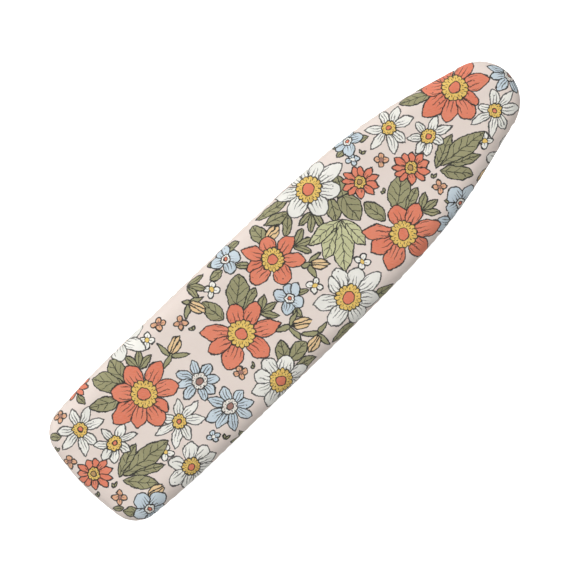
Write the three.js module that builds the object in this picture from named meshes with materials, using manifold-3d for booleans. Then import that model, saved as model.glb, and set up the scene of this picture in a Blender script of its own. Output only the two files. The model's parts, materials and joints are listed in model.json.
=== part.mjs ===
// Collapsible sleeve ironing board. A padded, cloth-covered steel deck stands on two parallel rod legs, which
// lean a little forward against stops and swing back over a looped rod base, so that the deck lies down on it.
// Millimetres, +Z up. The origin is on the table under the middle of the board, and +X points to the nose.

import * as THREE from "three";
import { mergeVertices } from "three/addons/utils/BufferGeometryUtils.js";
import Module from "manifold-3d";

const wasm = await Module();
wasm.setup();

// ---------------------------------------------------------------- driving dimensions
const BOARD_LENGTH = 508;
const BOARD_WIDTH = 127;
const HALF_LENGTH = BOARD_LENGTH / 2;
const HALF_WIDTH = BOARD_WIDTH / 2;
const NOSE_RADIUS = 34.5;

const GAP = 0.3; // air between pieces that rest on each other
const SIDES = 12; // facets round a rod

const LEG_LENGTH = 102; // lower pivot to upper pivot
const LEG_LEAN = THREE.MathUtils.degToRad(10);
const LEG_ROD_RADIUS = 4;
const LEG_ARM_Y = 35;
const PIVOT_Z = 23;
const REAR_PIVOT_X = -150;
const FRONT_PIVOT_X = -20;
const KNOB_STUB_END = 57; // the rear leg's stub on the knob side is longer
const STUB_END = 51;

const BASE_ROD_RADIUS = 6;
const BASE_Z = 10;
const BASE_Y = 44;
const BASE_TAIL_X = -234;
const BASE_NOSE_X = 184;
const FOOT_XS = [-184, 125];
const CROSSBAR_XS = [-85, 60];

const COVER_THICKNESS = 1.2;
const PAD_THICKNESS = 9;
const SHEET = 1.2; // steel of the deck
const RIM_DEPTH = 13;
const RIM_INSET = 2;
const EDGE_RUN = 16; // how far in from the outline the padded edge starts to round over
const EDGE_DROP = 11;
const HEM_INSET = 18;
const HINGE_PLATE = 2;
const STRAP_Y = 14;
const STRAP_WIDTH = 14;
const STRAP_RIVET_X = 11;
const RIVET_RADIUS = 2;
const STIFFENER_X = [28, 205];

// Heights worked up from the pivots.
const UPPER_PIVOT_RISE = LEG_LENGTH * Math.cos(LEG_LEAN);
const UPPER_PIVOT_SHIFT = LEG_LENGTH * Math.sin(LEG_LEAN);
const UPPER_PIVOT_Z = PIVOT_Z + UPPER_PIVOT_RISE;
const PLATE_UNDERSIDE = UPPER_PIVOT_Z + LEG_ROD_RADIUS + 0.55;
const DECK_UNDERSIDE = PLATE_UNDERSIDE + HINGE_PLATE + GAP;
const DECK_TOP = DECK_UNDERSIDE + SHEET;
const RIM_BOTTOM = DECK_TOP - RIM_DEPTH;
const PAD_BOTTOM = DECK_TOP + GAP;
const PAD_TOP = PAD_BOTTOM + PAD_THICKNESS;
const COVER_TOP = PAD_TOP + GAP + COVER_THICKNESS;
const HEM_TOP = RIM_BOTTOM - 0.5;
const HEM_BOTTOM = HEM_TOP - COVER_THICKNESS;

// ---------------------------------------------------------------- materials
const standard = (color, roughness, metalness) => new THREE.MeshStandardMaterial({ color, roughness, metalness });
const printedCotton = standard(0xecdbd4, 0.85, 0);
const elasticWebbing = standard(0xf2f0ec, 0.8, 0);
const feltFoam = standard(0xd9d6cf, 0.95, 0);
const galvanised = standard(0xb4b8ba, 0.45, 0.9);
const powderCoat = standard(0xe9e7e2, 0.4, 0.1);
const zincPlate = standard(0xc3c6c8, 0.32, 1);
const greyRubber = standard(0x3c3d3f, 0.75, 0);
const nylon = standard(0xd8d4c8, 0.5, 0);
const knobPlastic = standard(0x2b2c2e, 0.45, 0);

// ---------------------------------------------------------------- helpers
const group = new THREE.Group();

function addMesh(name, geometry, material, parent = group) {
  const mesh = new THREE.Mesh(geometry, material);
  mesh.name = name;
  parent.add(mesh);
  return mesh;
}

function solidFrom(geometry) {
  const bare = geometry.clone();
  bare.deleteAttribute("normal");
  bare.deleteAttribute("uv");
  const merged = mergeVertices(bare, 1e-3);
  const vertProperties = merged.attributes.position.array;
  const triVerts = new Uint32Array(merged.index.array);
  return new wasm.Manifold(new wasm.Mesh({ numProp: 3, vertProperties, triVerts }));
}

function geometryFrom(solid) {
  const mesh = solid.getMesh();
  const geometry = new THREE.BufferGeometry();
  geometry.setAttribute("position", new THREE.BufferAttribute(mesh.vertProperties.slice(), 3));
  geometry.setIndex(new THREE.BufferAttribute(mesh.triVerts.slice(), 1));
  geometry.computeVertexNormals();
  return geometry;
}

const cut = (geometry, cutters) =>
  geometryFrom(cutters.reduce((solid, cutter) => solid.subtract(solidFrom(cutter)), solidFrom(geometry)));

const join = (a, b) => geometryFrom(solidFrom(a).add(solidFrom(b)));

const circle = (radius, sides = SIDES) =>
  Array.from({ length: sides }, (_, i) => {
    const angle = ((i + 0.5) / sides) * 2 * Math.PI;
    return new THREE.Vector2(radius * Math.cos(angle), radius * Math.sin(angle));
  });

function holedShape(outline, ...holes) {
  const shape = new THREE.Shape(outline);
  shape.holes.push(...holes.map((points) => new THREE.Path(points)));
  return shape;
}

const shifted = (points, x, y) => points.map((p) => new THREE.Vector2(p.x + x, p.y + y));
const corners = (...pairs) => pairs.map(([x, y]) => new THREE.Vector2(x, y));

// A flat section pushed through a length that is centred on the origin.
function pushed(shape, length) {
  return new THREE.ExtrudeGeometry(shape, { depth: length, bevelEnabled: false }).translate(0, 0, -length / 2);
}

const X = new THREE.Vector3(1, 0, 0);
const Y = new THREE.Vector3(0, 1, 0);
const Z = new THREE.Vector3(0, 0, 1);

// The section's axes become Y and Z and its length lies along X, or its axes become X and Z and its length lies along Y.
const alongX = (shape, length) => pushed(shape, length).applyMatrix4(new THREE.Matrix4().makeBasis(Y, Z, X));
const alongY = (shape, length) =>
  pushed(shape, length).applyMatrix4(new THREE.Matrix4().makeBasis(X, Z, Y.clone().negate()));

const cylinderZ = (radius, low, high, x, y, sides = 8) =>
  new THREE.CylinderGeometry(radius, radius, high - low, sides).rotateX(Math.PI / 2).translate(x, y, (low + high) / 2);

// A rod bent round the corners of a polyline. Its stations stand at the ends of each straight and evenly round
// each bend, so that straights cost no facets.
class BentRod extends THREE.Curve {
  constructor(points, radii, stepsPerBend = 5) {
    super();
    this.stations = [];
    const last = points.length - 1;
    this.addStation(points[0], points[1].clone().sub(points[0]));
    for (let i = 1; i < last; i++) {
      this.addBend(points[i - 1], points[i], points[i + 1], radii[i - 1], stepsPerBend);
    }
    this.addStation(points[last], points[last].clone().sub(points[last - 1]));
  }

  addStation(point, direction) {
    this.stations.push({ point: point.clone(), tangent: direction.clone().normalize() });
  }

  addBend(before, corner, after, radius, steps) {
    const incoming = corner.clone().sub(before).normalize();
    const outgoing = after.clone().sub(corner).normalize();
    const turn = incoming.angleTo(outgoing);
    const axis = incoming.clone().cross(outgoing).normalize();
    const toCentre = axis.clone().cross(incoming).multiplyScalar(radius);
    const start = corner.clone().addScaledVector(incoming, -radius * Math.tan(turn / 2));
    const centre = start.clone().add(toCentre);
    for (let i = 0; i <= steps; i++) {
      const angle = (turn * i) / steps;
      const spoke = toCentre.clone().negate().applyAxisAngle(axis, angle);
      this.addStation(centre.clone().add(spoke), incoming.clone().applyAxisAngle(axis, angle));
    }
  }

  station(t) {
    return this.stations[Math.round(t * (this.stations.length - 1))];
  }

  getPoint(t, target = new THREE.Vector3()) {
    return target.copy(this.station(t).point);
  }

  getPointAt(t, target) {
    return this.getPoint(t, target);
  }

  getTangent(t, target = new THREE.Vector3()) {
    return target.copy(this.station(t).tangent);
  }

  getTangentAt(t, target) {
    return this.getTangent(t, target);
  }
}

const rodAlong = (path, radius) =>
  new THREE.ExtrudeGeometry(new THREE.Shape(circle(radius)), {
    extrudePath: path,
    steps: path.stations.length - 1,
  });

// ---------------------------------------------------------------- the board's outline
// Half the outline, from the tail's middle to the nose's tip, as distances from the tail and from the centre line.
function halfOutline() {
  const noseCentre = BOARD_LENGTH - NOSE_RADIUS;
  const noseTurn = THREE.MathUtils.degToRad(75);
  const flankEnd = [noseCentre + NOSE_RADIUS * Math.cos(noseTurn), NOSE_RADIUS * Math.sin(noseTurn)];
  const path = new THREE.Path();
  path.moveTo(0, 0);
  path.quadraticCurveTo(0, 20.5, 4, 41); // bowed tail edge
  path.bezierCurveTo(5.9, 51, 15.5, 59.3, 25, 60.2); // tail corner
  path.quadraticCurveTo(60, HALF_WIDTH, 95, HALF_WIDTH);
  path.lineTo(222, HALF_WIDTH);
  path.bezierCurveTo(380, HALF_WIDTH, 402, 55.6, ...flankEnd); // flank, narrowing to the nose
  path.absarc(noseCentre, 0, NOSE_RADIUS, noseTurn, 0, true);
  return path;
}

// Points round the whole outline, counter-clockwise seen from above, each with its outward normal.
function outlineStations() {
  const divisions = [3, 5, 4, 1, 10, 6];
  const upper = [];
  halfOutline().curves.forEach((curve, i) => {
    for (let step = 0; step < divisions[i]; step++) {
      const t = step / divisions[i];
      const tangent = curve.getTangent(t);
      const point = curve.getPoint(t);
      upper.push({ x: point.x - HALF_LENGTH, y: point.y, nx: -tangent.y, ny: tangent.x });
    }
  });
  const tip = { x: HALF_LENGTH, y: 0, nx: 1, ny: 0 };
  const lower = upper.slice(1).map((s) => ({ x: s.x, y: -s.y, nx: s.nx, ny: -s.ny }));
  return [...lower, tip, ...upper.reverse()];
}

const STATIONS = outlineStations();
const ring = (inset, z) => STATIONS.map((s) => new THREE.Vector3(s.x - s.nx * inset, s.y - s.ny * inset, z));

// A solid through rings of the outline, each given as [inset, z]. The first ring is capped facing down and the
// last facing up, or, when looped, the last ring runs on into the first.
function outlineSolid(profile, looped = false) {
  const count = STATIONS.length;
  const positions = profile.flatMap(([inset, z]) => ring(inset, z)).flatMap((p) => [p.x, p.y, p.z]);
  const index = [];
  const bands = looped ? profile.length : profile.length - 1;
  for (let band = 0; band < bands; band++) {
    const low = band * count;
    const high = ((band + 1) % profile.length) * count;
    for (let i = 0; i < count; i++) {
      const next = (i + 1) % count;
      index.push(low + i, low + next, high + next, low + i, high + next, high + i);
    }
  }
  if (!looped) {
    const flat = ring(profile[0][0], 0).map((p) => new THREE.Vector2(p.x, p.y));
    const top = (profile.length - 1) * count;
    for (const [a, b, c] of THREE.ShapeUtils.triangulateShape(flat, [])) {
      index.push(c, b, a, top + a, top + b, top + c);
    }
  }
  const geometry = new THREE.BufferGeometry();
  geometry.setAttribute("position", new THREE.Float32BufferAttribute(positions, 3));
  geometry.setIndex(index);
  geometry.computeVertexNormals();
  return geometry;
}

// The padded edge's rounding, from its foot to the flat top, as [inset, z].
function roundedEdge(inset, run, top, drop, firstAngle = 0, steps = 4) {
  return Array.from({ length: steps + 1 }, (_, i) => {
    const angle = firstAngle + ((Math.PI / 2 - firstAngle) * i) / steps;
    return [inset + run * (1 - Math.cos(angle)), top - drop * (1 - Math.sin(angle))];
  });
}

// ---------------------------------------------------------------- cover, elastic and pad
const innerRun = EDGE_RUN - 1;
const innerDrop = EDGE_DROP - 1;

const coverInside = roundedEdge(COVER_THICKNESS, innerRun, COVER_TOP - COVER_THICKNESS, innerDrop).reverse();
const coverOutside = roundedEdge(0, EDGE_RUN, COVER_TOP, EDGE_DROP);
const cover = outlineSolid([
  ...coverInside,
  [COVER_THICKNESS, HEM_TOP],
  [HEM_INSET, HEM_TOP],
  [HEM_INSET, HEM_BOTTOM],
  [2, HEM_BOTTOM],
  [0, HEM_BOTTOM + 2],
  ...coverOutside,
]);
addMesh("cover", cover, printedCotton);

const ELASTIC_WIDTH = 5;
const ELASTIC_THICKNESS = 1.2;
const elasticLow = HEM_TOP + GAP;
const elasticHigh = elasticLow + ELASTIC_THICKNESS;
const elasticOuter = HEM_INSET - 1 - ELASTIC_WIDTH;
const hemElastic = outlineSolid(
  [
    [elasticOuter, elasticLow],
    [elasticOuter, elasticHigh],
    [HEM_INSET - 1, elasticHigh],
    [HEM_INSET - 1, elasticLow],
  ],
  true,
);
addMesh("hem_elastic", hemElastic, elasticWebbing);

const padInset = COVER_THICKNESS + 0.5;
const padFootAngle = Math.asin(1 - (PAD_TOP - PAD_BOTTOM) / innerDrop);
const foamPad = outlineSolid(roundedEdge(padInset, innerRun, PAD_TOP, innerDrop, padFootAngle));
addMesh("foam_pad", foamPad, feltFoam);

// ---------------------------------------------------------------- steel deck with steam holes
const strapCentres = [REAR_PIVOT_X, FRONT_PIVOT_X].map((x) => x + UPPER_PIVOT_SHIFT);
const strapRivets = strapCentres.flatMap((x) =>
  [-1, 1].flatMap((side) => [-1, 1].map((end) => ({ x: x + end * STRAP_RIVET_X, y: side * STRAP_Y }))),
);
const stiffenerRivets = [STIFFENER_X[0] + 10, STIFFENER_X[1] - 10].flatMap((x) =>
  [-1, 1].map((side) => ({ x, y: side * 14 })),
);
const rivetHoles = (spots) =>
  spots.map(({ x, y }) => cylinderZ(RIVET_RADIUS + GAP, HEM_BOTTOM, PAD_BOTTOM, x, y));

// Staggered rows of six-sided steam holes, left out near rivets and near the rim.
function steamHoles() {
  const pitch = 30;
  const rowStep = 21;
  const radius = 4.5;
  const margin = 14;
  const rivets = [...strapRivets, ...stiffenerRivets];
  const holes = [];
  for (let row = -2; row <= 2; row++) {
    const y = row * rowStep;
    for (let x = -225 + (row % 2 ? pitch / 2 : 0); x < 240; x += pitch) {
      const inside = STATIONS.every((s) => (s.x - x) * s.nx + (s.y - y) * s.ny > margin + radius);
      const clear = rivets.every((r) => Math.hypot(r.x - x, r.y - y) > radius + 5);
      if (inside && clear) holes.push(cylinderZ(radius, DECK_UNDERSIDE - 1, DECK_TOP + 1, x, y, 6));
    }
  }
  return holes;
}

const deckPan = outlineSolid([
  [RIM_INSET + SHEET + 1, DECK_UNDERSIDE],
  [RIM_INSET + SHEET, DECK_UNDERSIDE - 1],
  [RIM_INSET + SHEET, RIM_BOTTOM + SHEET],
  [RIM_INSET + 6, RIM_BOTTOM + SHEET],
  [RIM_INSET + 6, RIM_BOTTOM],
  [RIM_INSET + 1, RIM_BOTTOM],
  [RIM_INSET, RIM_BOTTOM + 1],
  [RIM_INSET, DECK_TOP - 1.5],
  [RIM_INSET + 1.5, DECK_TOP],
]);
addMesh("deck_pan", cut(deckPan, [...steamHoles(), ...rivetHoles([...strapRivets, ...stiffenerRivets])]), galvanised);

// ---------------------------------------------------------------- nose stiffener, a hat channel under the deck
function noseStiffener() {
  const top = DECK_UNDERSIDE - GAP;
  const bottom = top - 8;
  const section = corners(
    [-18, top],
    [-18, top - SHEET],
    [-9, top - SHEET],
    [-7, bottom],
    [7, bottom],
    [9, top - SHEET],
    [18, top - SHEET],
    [18, top],
    [8, top],
    [6, bottom + SHEET],
    [-6, bottom + SHEET],
    [-8, top],
  );
  const [start, end] = STIFFENER_X;
  const channel = alongX(new THREE.Shape(section), end - start).translate((start + end) / 2, 0, 0);
  return cut(channel, rivetHoles(stiffenerRivets));
}
addMesh("nose_stiffener", noseStiffener(), galvanised);

// ---------------------------------------------------------------- hinge plates, straps and rivets
const HINGE_PLATE_X = 40;
const HINGE_PLATE_Y = 60;
const FLANGE_TOP = PLATE_UNDERSIDE - GAP - UPPER_PIVOT_Z; // above the rod's axis
const STRAP_SHEET = 1.5;
const STRAP_BORE = LEG_ROD_RADIUS + 0.4;

// An omega strap that holds the rod's top bar, its section seen from the side with the rod's axis at the origin.
function strapSection() {
  const outer = STRAP_BORE + STRAP_SHEET;
  const bow = (radius, from, to) =>
    Array.from({ length: 9 }, (_, i) => {
      const angle = from + ((to - from) * i) / 8;
      return new THREE.Vector2(radius * Math.cos(angle), radius * Math.sin(angle));
    });
  return new THREE.Shape([
    ...corners([-16, FLANGE_TOP], [-16, FLANGE_TOP - STRAP_SHEET], [-outer, FLANGE_TOP - STRAP_SHEET]),
    ...bow(outer, Math.PI, 2 * Math.PI),
    ...corners([outer, FLANGE_TOP - STRAP_SHEET], [16, FLANGE_TOP - STRAP_SHEET], [16, FLANGE_TOP]),
    ...corners([STRAP_BORE, FLANGE_TOP]),
    ...bow(STRAP_BORE, 2 * Math.PI, Math.PI),
    ...corners([-STRAP_BORE, FLANGE_TOP]),
  ]);
}

const plateCentreZ = DECK_UNDERSIDE - GAP - HINGE_PLATE / 2;
["rear", "front"].forEach((end, i) => {
  const x = strapCentres[i];
  const plate = new THREE.BoxGeometry(HINGE_PLATE_X, HINGE_PLATE_Y, HINGE_PLATE).translate(x, 0, plateCentreZ);
  addMesh(`${end}_hinge_plate`, cut(plate, rivetHoles(strapRivets)), zincPlate);
  [1, -1].forEach((side) => {
    const strap = alongY(strapSection(), STRAP_WIDTH).translate(x, side * STRAP_Y, UPPER_PIVOT_Z);
    const name = `${end}_strap_${side > 0 ? "left" : "right"}`;
    addMesh(name, cut(strap, rivetHoles(strapRivets)), zincPlate);
  });
});

// A rivet set flush in the deck, with a domed head below whatever it holds up.
function rivet(headTop) {
  const profile = corners(
    [0, headTop - 1.5],
    [2.2, headTop - 1.2],
    [3.6, headTop - GAP],
    [RIVET_RADIUS, headTop - GAP],
    [RIVET_RADIUS, DECK_TOP],
    [0, DECK_TOP],
  );
  return new THREE.LatheGeometry(profile, 8).rotateX(Math.PI / 2);
}

strapRivets.forEach(({ x, y }, i) => {
  const head = UPPER_PIVOT_Z + FLANGE_TOP - STRAP_SHEET;
  addMesh(`strap_rivet_${i + 1}`, rivet(head), zincPlate).position.set(x, y, 0);
});
stiffenerRivets.forEach(({ x, y }, i) => {
  const head = DECK_UNDERSIDE - GAP - SHEET;
  addMesh(`stiffener_rivet_${i + 1}`, rivet(head), zincPlate).position.set(x, y, 0);
});

// ---------------------------------------------------------------- legs
// A bent-rod leg in its own frame: stubs along Y on the lower pivot, arms up Z, and the top bar on the upper pivot.
function legRod(rightEnd) {
  const at = (y, z) => new THREE.Vector3(0, y, z);
  const path = new BentRod(
    [
      at(-rightEnd, 0),
      at(-LEG_ARM_Y, 0),
      at(-LEG_ARM_Y, LEG_LENGTH),
      at(LEG_ARM_Y, LEG_LENGTH),
      at(LEG_ARM_Y, 0),
      at(STUB_END, 0),
    ],
    [6, 10, 10, 6],
  );
  return rodAlong(path, LEG_ROD_RADIUS);
}

function legGroup(pivotX) {
  const leg = new THREE.Group();
  leg.position.set(pivotX, 0, PIVOT_Z);
  leg.rotation.y = LEG_LEAN;
  group.add(leg);
  return leg;
}

const WASHER_THICKNESS = 1.1;
const EAR_THICKNESS = 3;
const earInner = BASE_Y - EAR_THICKNESS / 2;
const earOuter = BASE_Y + EAR_THICKNESS / 2;

const washerRing = (bore, radius, thickness) =>
  alongY(holedShape(circle(radius, 16), circle(bore, 16).reverse()), thickness);

// A push-on cap that closes a stub's end. Its profile runs up the inside and back down the outside, along Y.
function stubCap() {
  const bore = LEG_ROD_RADIUS + GAP;
  const mouth = earOuter + GAP;
  const profile = corners(
    [0, STUB_END + GAP],
    [bore, STUB_END + GAP],
    [bore, mouth],
    [6.6, mouth],
    [6.6, mouth + 2],
    [5.6, mouth + 2.5],
    [5.6, STUB_END + 0.8],
    [4, STUB_END + 2.2],
    [0, STUB_END + 2.6],
  );
  return new THREE.LatheGeometry(profile, 14);
}

const rearLeg = legGroup(REAR_PIVOT_X);
const frontLeg = legGroup(FRONT_PIVOT_X);
addMesh("rear_leg", legRod(KNOB_STUB_END), powderCoat, rearLeg);
addMesh("front_leg", legRod(STUB_END), powderCoat, frontLeg);

[
  ["rear", rearLeg],
  ["front", frontLeg],
].forEach(([end, leg]) => {
  [1, -1].forEach((side) => {
    const name = `${end}_pivot_washer_${side > 0 ? "left" : "right"}`;
    const washer = washerRing(LEG_ROD_RADIUS + 0.4, 7, WASHER_THICKNESS);
    addMesh(name, washer, nylon, leg).position.y = side * (earInner - 0.2 - WASHER_THICKNESS / 2);
  });
});

addMesh("rear_stub_cap", stubCap(), nylon, rearLeg);
addMesh("front_stub_cap_left", stubCap(), nylon, frontLeg);
addMesh("front_stub_cap_right", stubCap().rotateX(Math.PI), nylon, frontLeg);

// ---------------------------------------------------------------- clamp knob on the rear leg's longer stub
const CLAMP_WASHER_THICKNESS = 1.4;
const clampWasher = washerRing(LEG_ROD_RADIUS + GAP, 6.7, CLAMP_WASHER_THICKNESS);
const clampWasherY = earOuter + GAP + CLAMP_WASHER_THICKNESS / 2;
addMesh("clamp_washer", clampWasher, zincPlate, rearLeg).position.y = -clampWasherY;

function lockKnob() {
  const hubStart = clampWasherY + CLAMP_WASHER_THICKNESS / 2 + GAP;
  const headStart = BASE_Y + BASE_ROD_RADIUS + 1.2;
  const headEnd = 60.5;
  const lobes = Array.from({ length: 48 }, (_, i) => {
    const angle = (i / 48) * 2 * Math.PI;
    const radius = 10.8 + 1.2 * Math.cos(6 * angle);
    return new THREE.Vector2(radius * Math.cos(angle), radius * Math.sin(angle));
  });
  const head = alongY(new THREE.Shape(lobes), headEnd - headStart).translate(0, -(headStart + headEnd) / 2, 0);
  const hubLength = headStart + 1 - hubStart;
  const hub = new THREE.CylinderGeometry(7, 7, hubLength, 16).translate(0, -(hubStart + hubLength / 2), 0);
  const boreRadius = LEG_ROD_RADIUS + GAP;
  const bore = new THREE.CylinderGeometry(boreRadius, boreRadius, 20, 16).translate(0, -KNOB_STUB_END + 9.5, 0);
  return cut(join(head, hub), [bore]);
}
addMesh("lock_knob", lockKnob(), knobPlastic, rearLeg);

// ---------------------------------------------------------------- base loop and crossbars
function baseLoop() {
  const at = (x, y) => new THREE.Vector3(x, y, BASE_Z);
  const halfJoint = 0.3;
  const path = new BentRod(
    [
      at(BASE_TAIL_X, -halfJoint),
      at(BASE_TAIL_X, -BASE_Y),
      at(BASE_NOSE_X, -BASE_Y),
      at(BASE_NOSE_X, BASE_Y),
      at(BASE_TAIL_X, BASE_Y),
      at(BASE_TAIL_X, halfJoint),
    ],
    [34, BASE_Y - 0.5, BASE_Y - 0.5, 34],
    7,
  );
  return rodAlong(path, BASE_ROD_RADIUS);
}
addMesh("base_loop", baseLoop(), powderCoat);

// The loop's two ends meet inside this sleeve.
const jointSleeve = washerRing(BASE_ROD_RADIUS + GAP, BASE_ROD_RADIUS + 1.4, 20);
addMesh("base_joint_sleeve", jointSleeve, powderCoat).position.set(BASE_TAIL_X, 0, BASE_Z);

["rear_crossbar", "front_crossbar"].forEach((name, i) => {
  const crossbar = alongY(new THREE.Shape(circle(4)), 2 * (BASE_Y - BASE_ROD_RADIUS - GAP));
  addMesh(name, crossbar, powderCoat).position.set(CROSSBAR_XS[i], 0, BASE_Z);
});

// ---------------------------------------------------------------- pivot ears, each with the stop its leg leans on
function pivotEar(side) {
  const foot = BASE_Z + BASE_ROD_RADIUS + GAP - PIVOT_Z;
  const crown = Array.from({ length: 7 }, (_, i) => {
    const angle = THREE.MathUtils.degToRad(55 + (110 * i) / 6);
    return new THREE.Vector2(8.5 * Math.cos(angle), 8.5 * Math.sin(angle));
  });
  const outline = [...corners([-14, foot], [14, foot], [10.6, 15], [7.2, 15]), ...crown];
  const plate = alongY(holedShape(outline, circle(LEG_ROD_RADIUS + 0.4, 16).reverse()), EAR_THICKNESS);
  const lugReach = 11;
  const lug = new THREE.BoxGeometry(3, lugReach, 7).translate(8.7, -side * (lugReach / 2), 11.4);
  return join(plate, lug);
}

[
  ["rear", REAR_PIVOT_X],
  ["front", FRONT_PIVOT_X],
].forEach(([end, x]) => {
  [1, -1].forEach((side) => {
    const name = `${end}_pivot_ear_${side > 0 ? "left" : "right"}`;
    addMesh(name, pivotEar(side), powderCoat).position.set(x, side * BASE_Y, PIVOT_Z);
  });
});

// ---------------------------------------------------------------- rubber feet that grip the base rod
function footSection() {
  const grip = BASE_ROD_RADIUS + 3;
  const shape = new THREE.Shape();
  shape.moveTo(-8, -BASE_Z);
  shape.lineTo(8, -BASE_Z);
  shape.lineTo(grip, -2);
  shape.lineTo(grip, 0);
  shape.absarc(0, 0, grip, 0, Math.PI, false);
  shape.lineTo(-grip, -2);
  const points = shape.extractPoints(6).shape;
  return holedShape(points, circle(BASE_ROD_RADIUS + GAP).reverse());
}

["rear", "front"].forEach((end, i) => {
  [1, -1].forEach((side) => {
    const name = `${end}_foot_${side > 0 ? "left" : "right"}`;
    addMesh(name, alongX(footSection(), 24), greyRubber).position.set(FOOT_XS[i], side * BASE_Y, BASE_Z);
  });
});

export default group;
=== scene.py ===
"""The looks of a collapsible sleeve ironing board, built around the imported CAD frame.

Lengths are in millimetres, and new_piece turns them into Blender's metres. Bump distances and the texture
scales of the plain materials are in metres."""

import inspect
import json
import math

import bpy
import numpy as np
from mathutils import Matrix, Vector


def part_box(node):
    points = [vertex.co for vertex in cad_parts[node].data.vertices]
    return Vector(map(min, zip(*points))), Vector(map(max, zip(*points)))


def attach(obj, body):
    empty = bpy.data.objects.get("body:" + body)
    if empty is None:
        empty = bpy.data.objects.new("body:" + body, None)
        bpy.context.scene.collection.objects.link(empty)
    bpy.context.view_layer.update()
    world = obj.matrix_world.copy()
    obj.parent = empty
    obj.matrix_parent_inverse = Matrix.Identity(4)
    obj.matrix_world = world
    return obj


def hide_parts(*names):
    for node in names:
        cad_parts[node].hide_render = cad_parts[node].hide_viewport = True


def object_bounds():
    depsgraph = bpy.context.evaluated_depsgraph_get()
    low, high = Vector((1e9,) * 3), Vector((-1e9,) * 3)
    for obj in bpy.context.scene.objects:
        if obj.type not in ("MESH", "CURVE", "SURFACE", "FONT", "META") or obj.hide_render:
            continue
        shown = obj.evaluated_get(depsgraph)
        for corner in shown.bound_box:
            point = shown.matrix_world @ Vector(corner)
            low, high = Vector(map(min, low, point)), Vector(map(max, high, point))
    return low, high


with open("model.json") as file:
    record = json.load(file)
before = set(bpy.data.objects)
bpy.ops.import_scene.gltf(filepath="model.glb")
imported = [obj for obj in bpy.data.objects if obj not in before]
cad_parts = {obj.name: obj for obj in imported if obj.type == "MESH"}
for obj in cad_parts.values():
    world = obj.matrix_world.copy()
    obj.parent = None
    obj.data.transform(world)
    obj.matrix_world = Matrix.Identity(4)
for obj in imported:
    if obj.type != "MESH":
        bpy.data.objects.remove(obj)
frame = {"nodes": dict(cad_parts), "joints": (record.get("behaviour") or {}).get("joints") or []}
cad_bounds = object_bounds()
MM = 0.001
X_AXIS, Y_AXIS, Z_AXIS = Vector((1, 0, 0)), Vector((0, 1, 0)), Vector((0, 0, 1))


def box(node):
    """A CAD node's lowest and highest corners."""
    low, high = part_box(node)
    return low / MM, high / MM


def middle(node):
    """A CAD node's centre, and half its size along each axis."""
    low, high = box(node)
    return (low + high) / 2, (high - low) / 2


def pivot_of(name):
    """The place of a joint."""
    return Vector(next(joint["pos_m"] for joint in frame["joints"] if joint["name"] == name)) / MM


# ================================================================ mesh helpers
def new_piece(name, points, faces, material, body, replaced=(), smooth=True):
    """A mesh that rides on a CAD body and stands for CAD nodes."""
    mesh = bpy.data.meshes.new(name)
    mesh.from_pydata([tuple(Vector(p) * MM) for p in points], [], [tuple(f) for f in faces])
    mesh.validate()
    mesh.polygons.foreach_set("use_smooth", [smooth] * len(mesh.polygons))
    mesh.materials.append(material)
    piece = bpy.data.objects.new(name, mesh)
    bpy.context.scene.collection.objects.link(piece)
    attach(piece, body)
    if replaced:
        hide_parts(*replaced)
    finish = material.name.split(".")[0]  # without the number Blender adds, as the frame has the same names
    return piece


def circle(centre, right, up, radius, sides):
    """Points round a circle spanned by two vectors."""
    turns = [2 * math.pi * i / sides for i in range(sides)]
    return [centre + (right * math.cos(a) + up * math.sin(a)) * radius for a in turns]


def ring_faces(rings, sides, closed=False):
    """Quads that join rings of points, listed one after another."""
    faces = []
    for r in range(rings if closed else rings - 1):
        low = r * sides
        high = ((r + 1) % rings) * sides
        for i in range(sides):
            j = (i + 1) % sides
            faces.append((low + i, low + j, high + j, high + i))
    return faces


def capped_faces(rings, sides):
    """The same, with a face over the first ring and the last."""
    last = (rings - 1) * sides
    return ring_faces(rings, sides) + [tuple(reversed(range(sides))), tuple(range(last, last + sides))]


def bent_path(points, radii, steps=14):
    """Places and directions along a polyline whose corners are rounded."""
    points = [Vector(p) for p in points]
    places = [(points[0], (points[1] - points[0]).normalized())]
    for before, corner, after, radius in zip(points, points[1:], points[2:], radii):
        incoming = (corner - before).normalized()
        outgoing = (after - corner).normalized()
        turn = incoming.angle(outgoing)
        axis = incoming.cross(outgoing).normalized()
        to_centre = axis.cross(incoming) * radius
        centre = corner - incoming * radius * math.tan(turn / 2) + to_centre
        for i in range(steps + 1):
            angle = turn * i / steps
            places.append((centre + rotated(-to_centre, axis, angle), rotated(incoming, axis, angle)))
    places.append((points[-1], (points[-1] - points[-2]).normalized()))
    return places


def rotated(vector, axis, angle):
    """The vector turned about an axis by the right-hand rule."""
    c, s = math.cos(angle), math.sin(angle)
    return vector * c + axis.cross(vector) * s + axis * axis.dot(vector) * (1 - c)


def tube(name, path, radius, material, body, replaced=(), sides=28, chamfer=0.8):
    """A solid round rod along a path, with chamfered ends."""
    start, end = path[0], path[-1]
    stations = [(start[0], start[1], radius - chamfer), (start[0] + start[1] * chamfer, start[1], radius)]
    stations += [(place, direction, radius) for place, direction in path[1:-1]]
    stations += [(end[0] - end[1] * chamfer, end[1], radius), (end[0], end[1], radius - chamfer)]
    side = start[1].orthogonal().normalized()
    points = []
    for place, direction, r in stations:
        side = (side - direction * side.dot(direction)).normalized()
        points += circle(place, side, direction.cross(side), r, sides)
    return new_piece(name, points, capped_faces(len(stations), sides), material, body, replaced)


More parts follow.
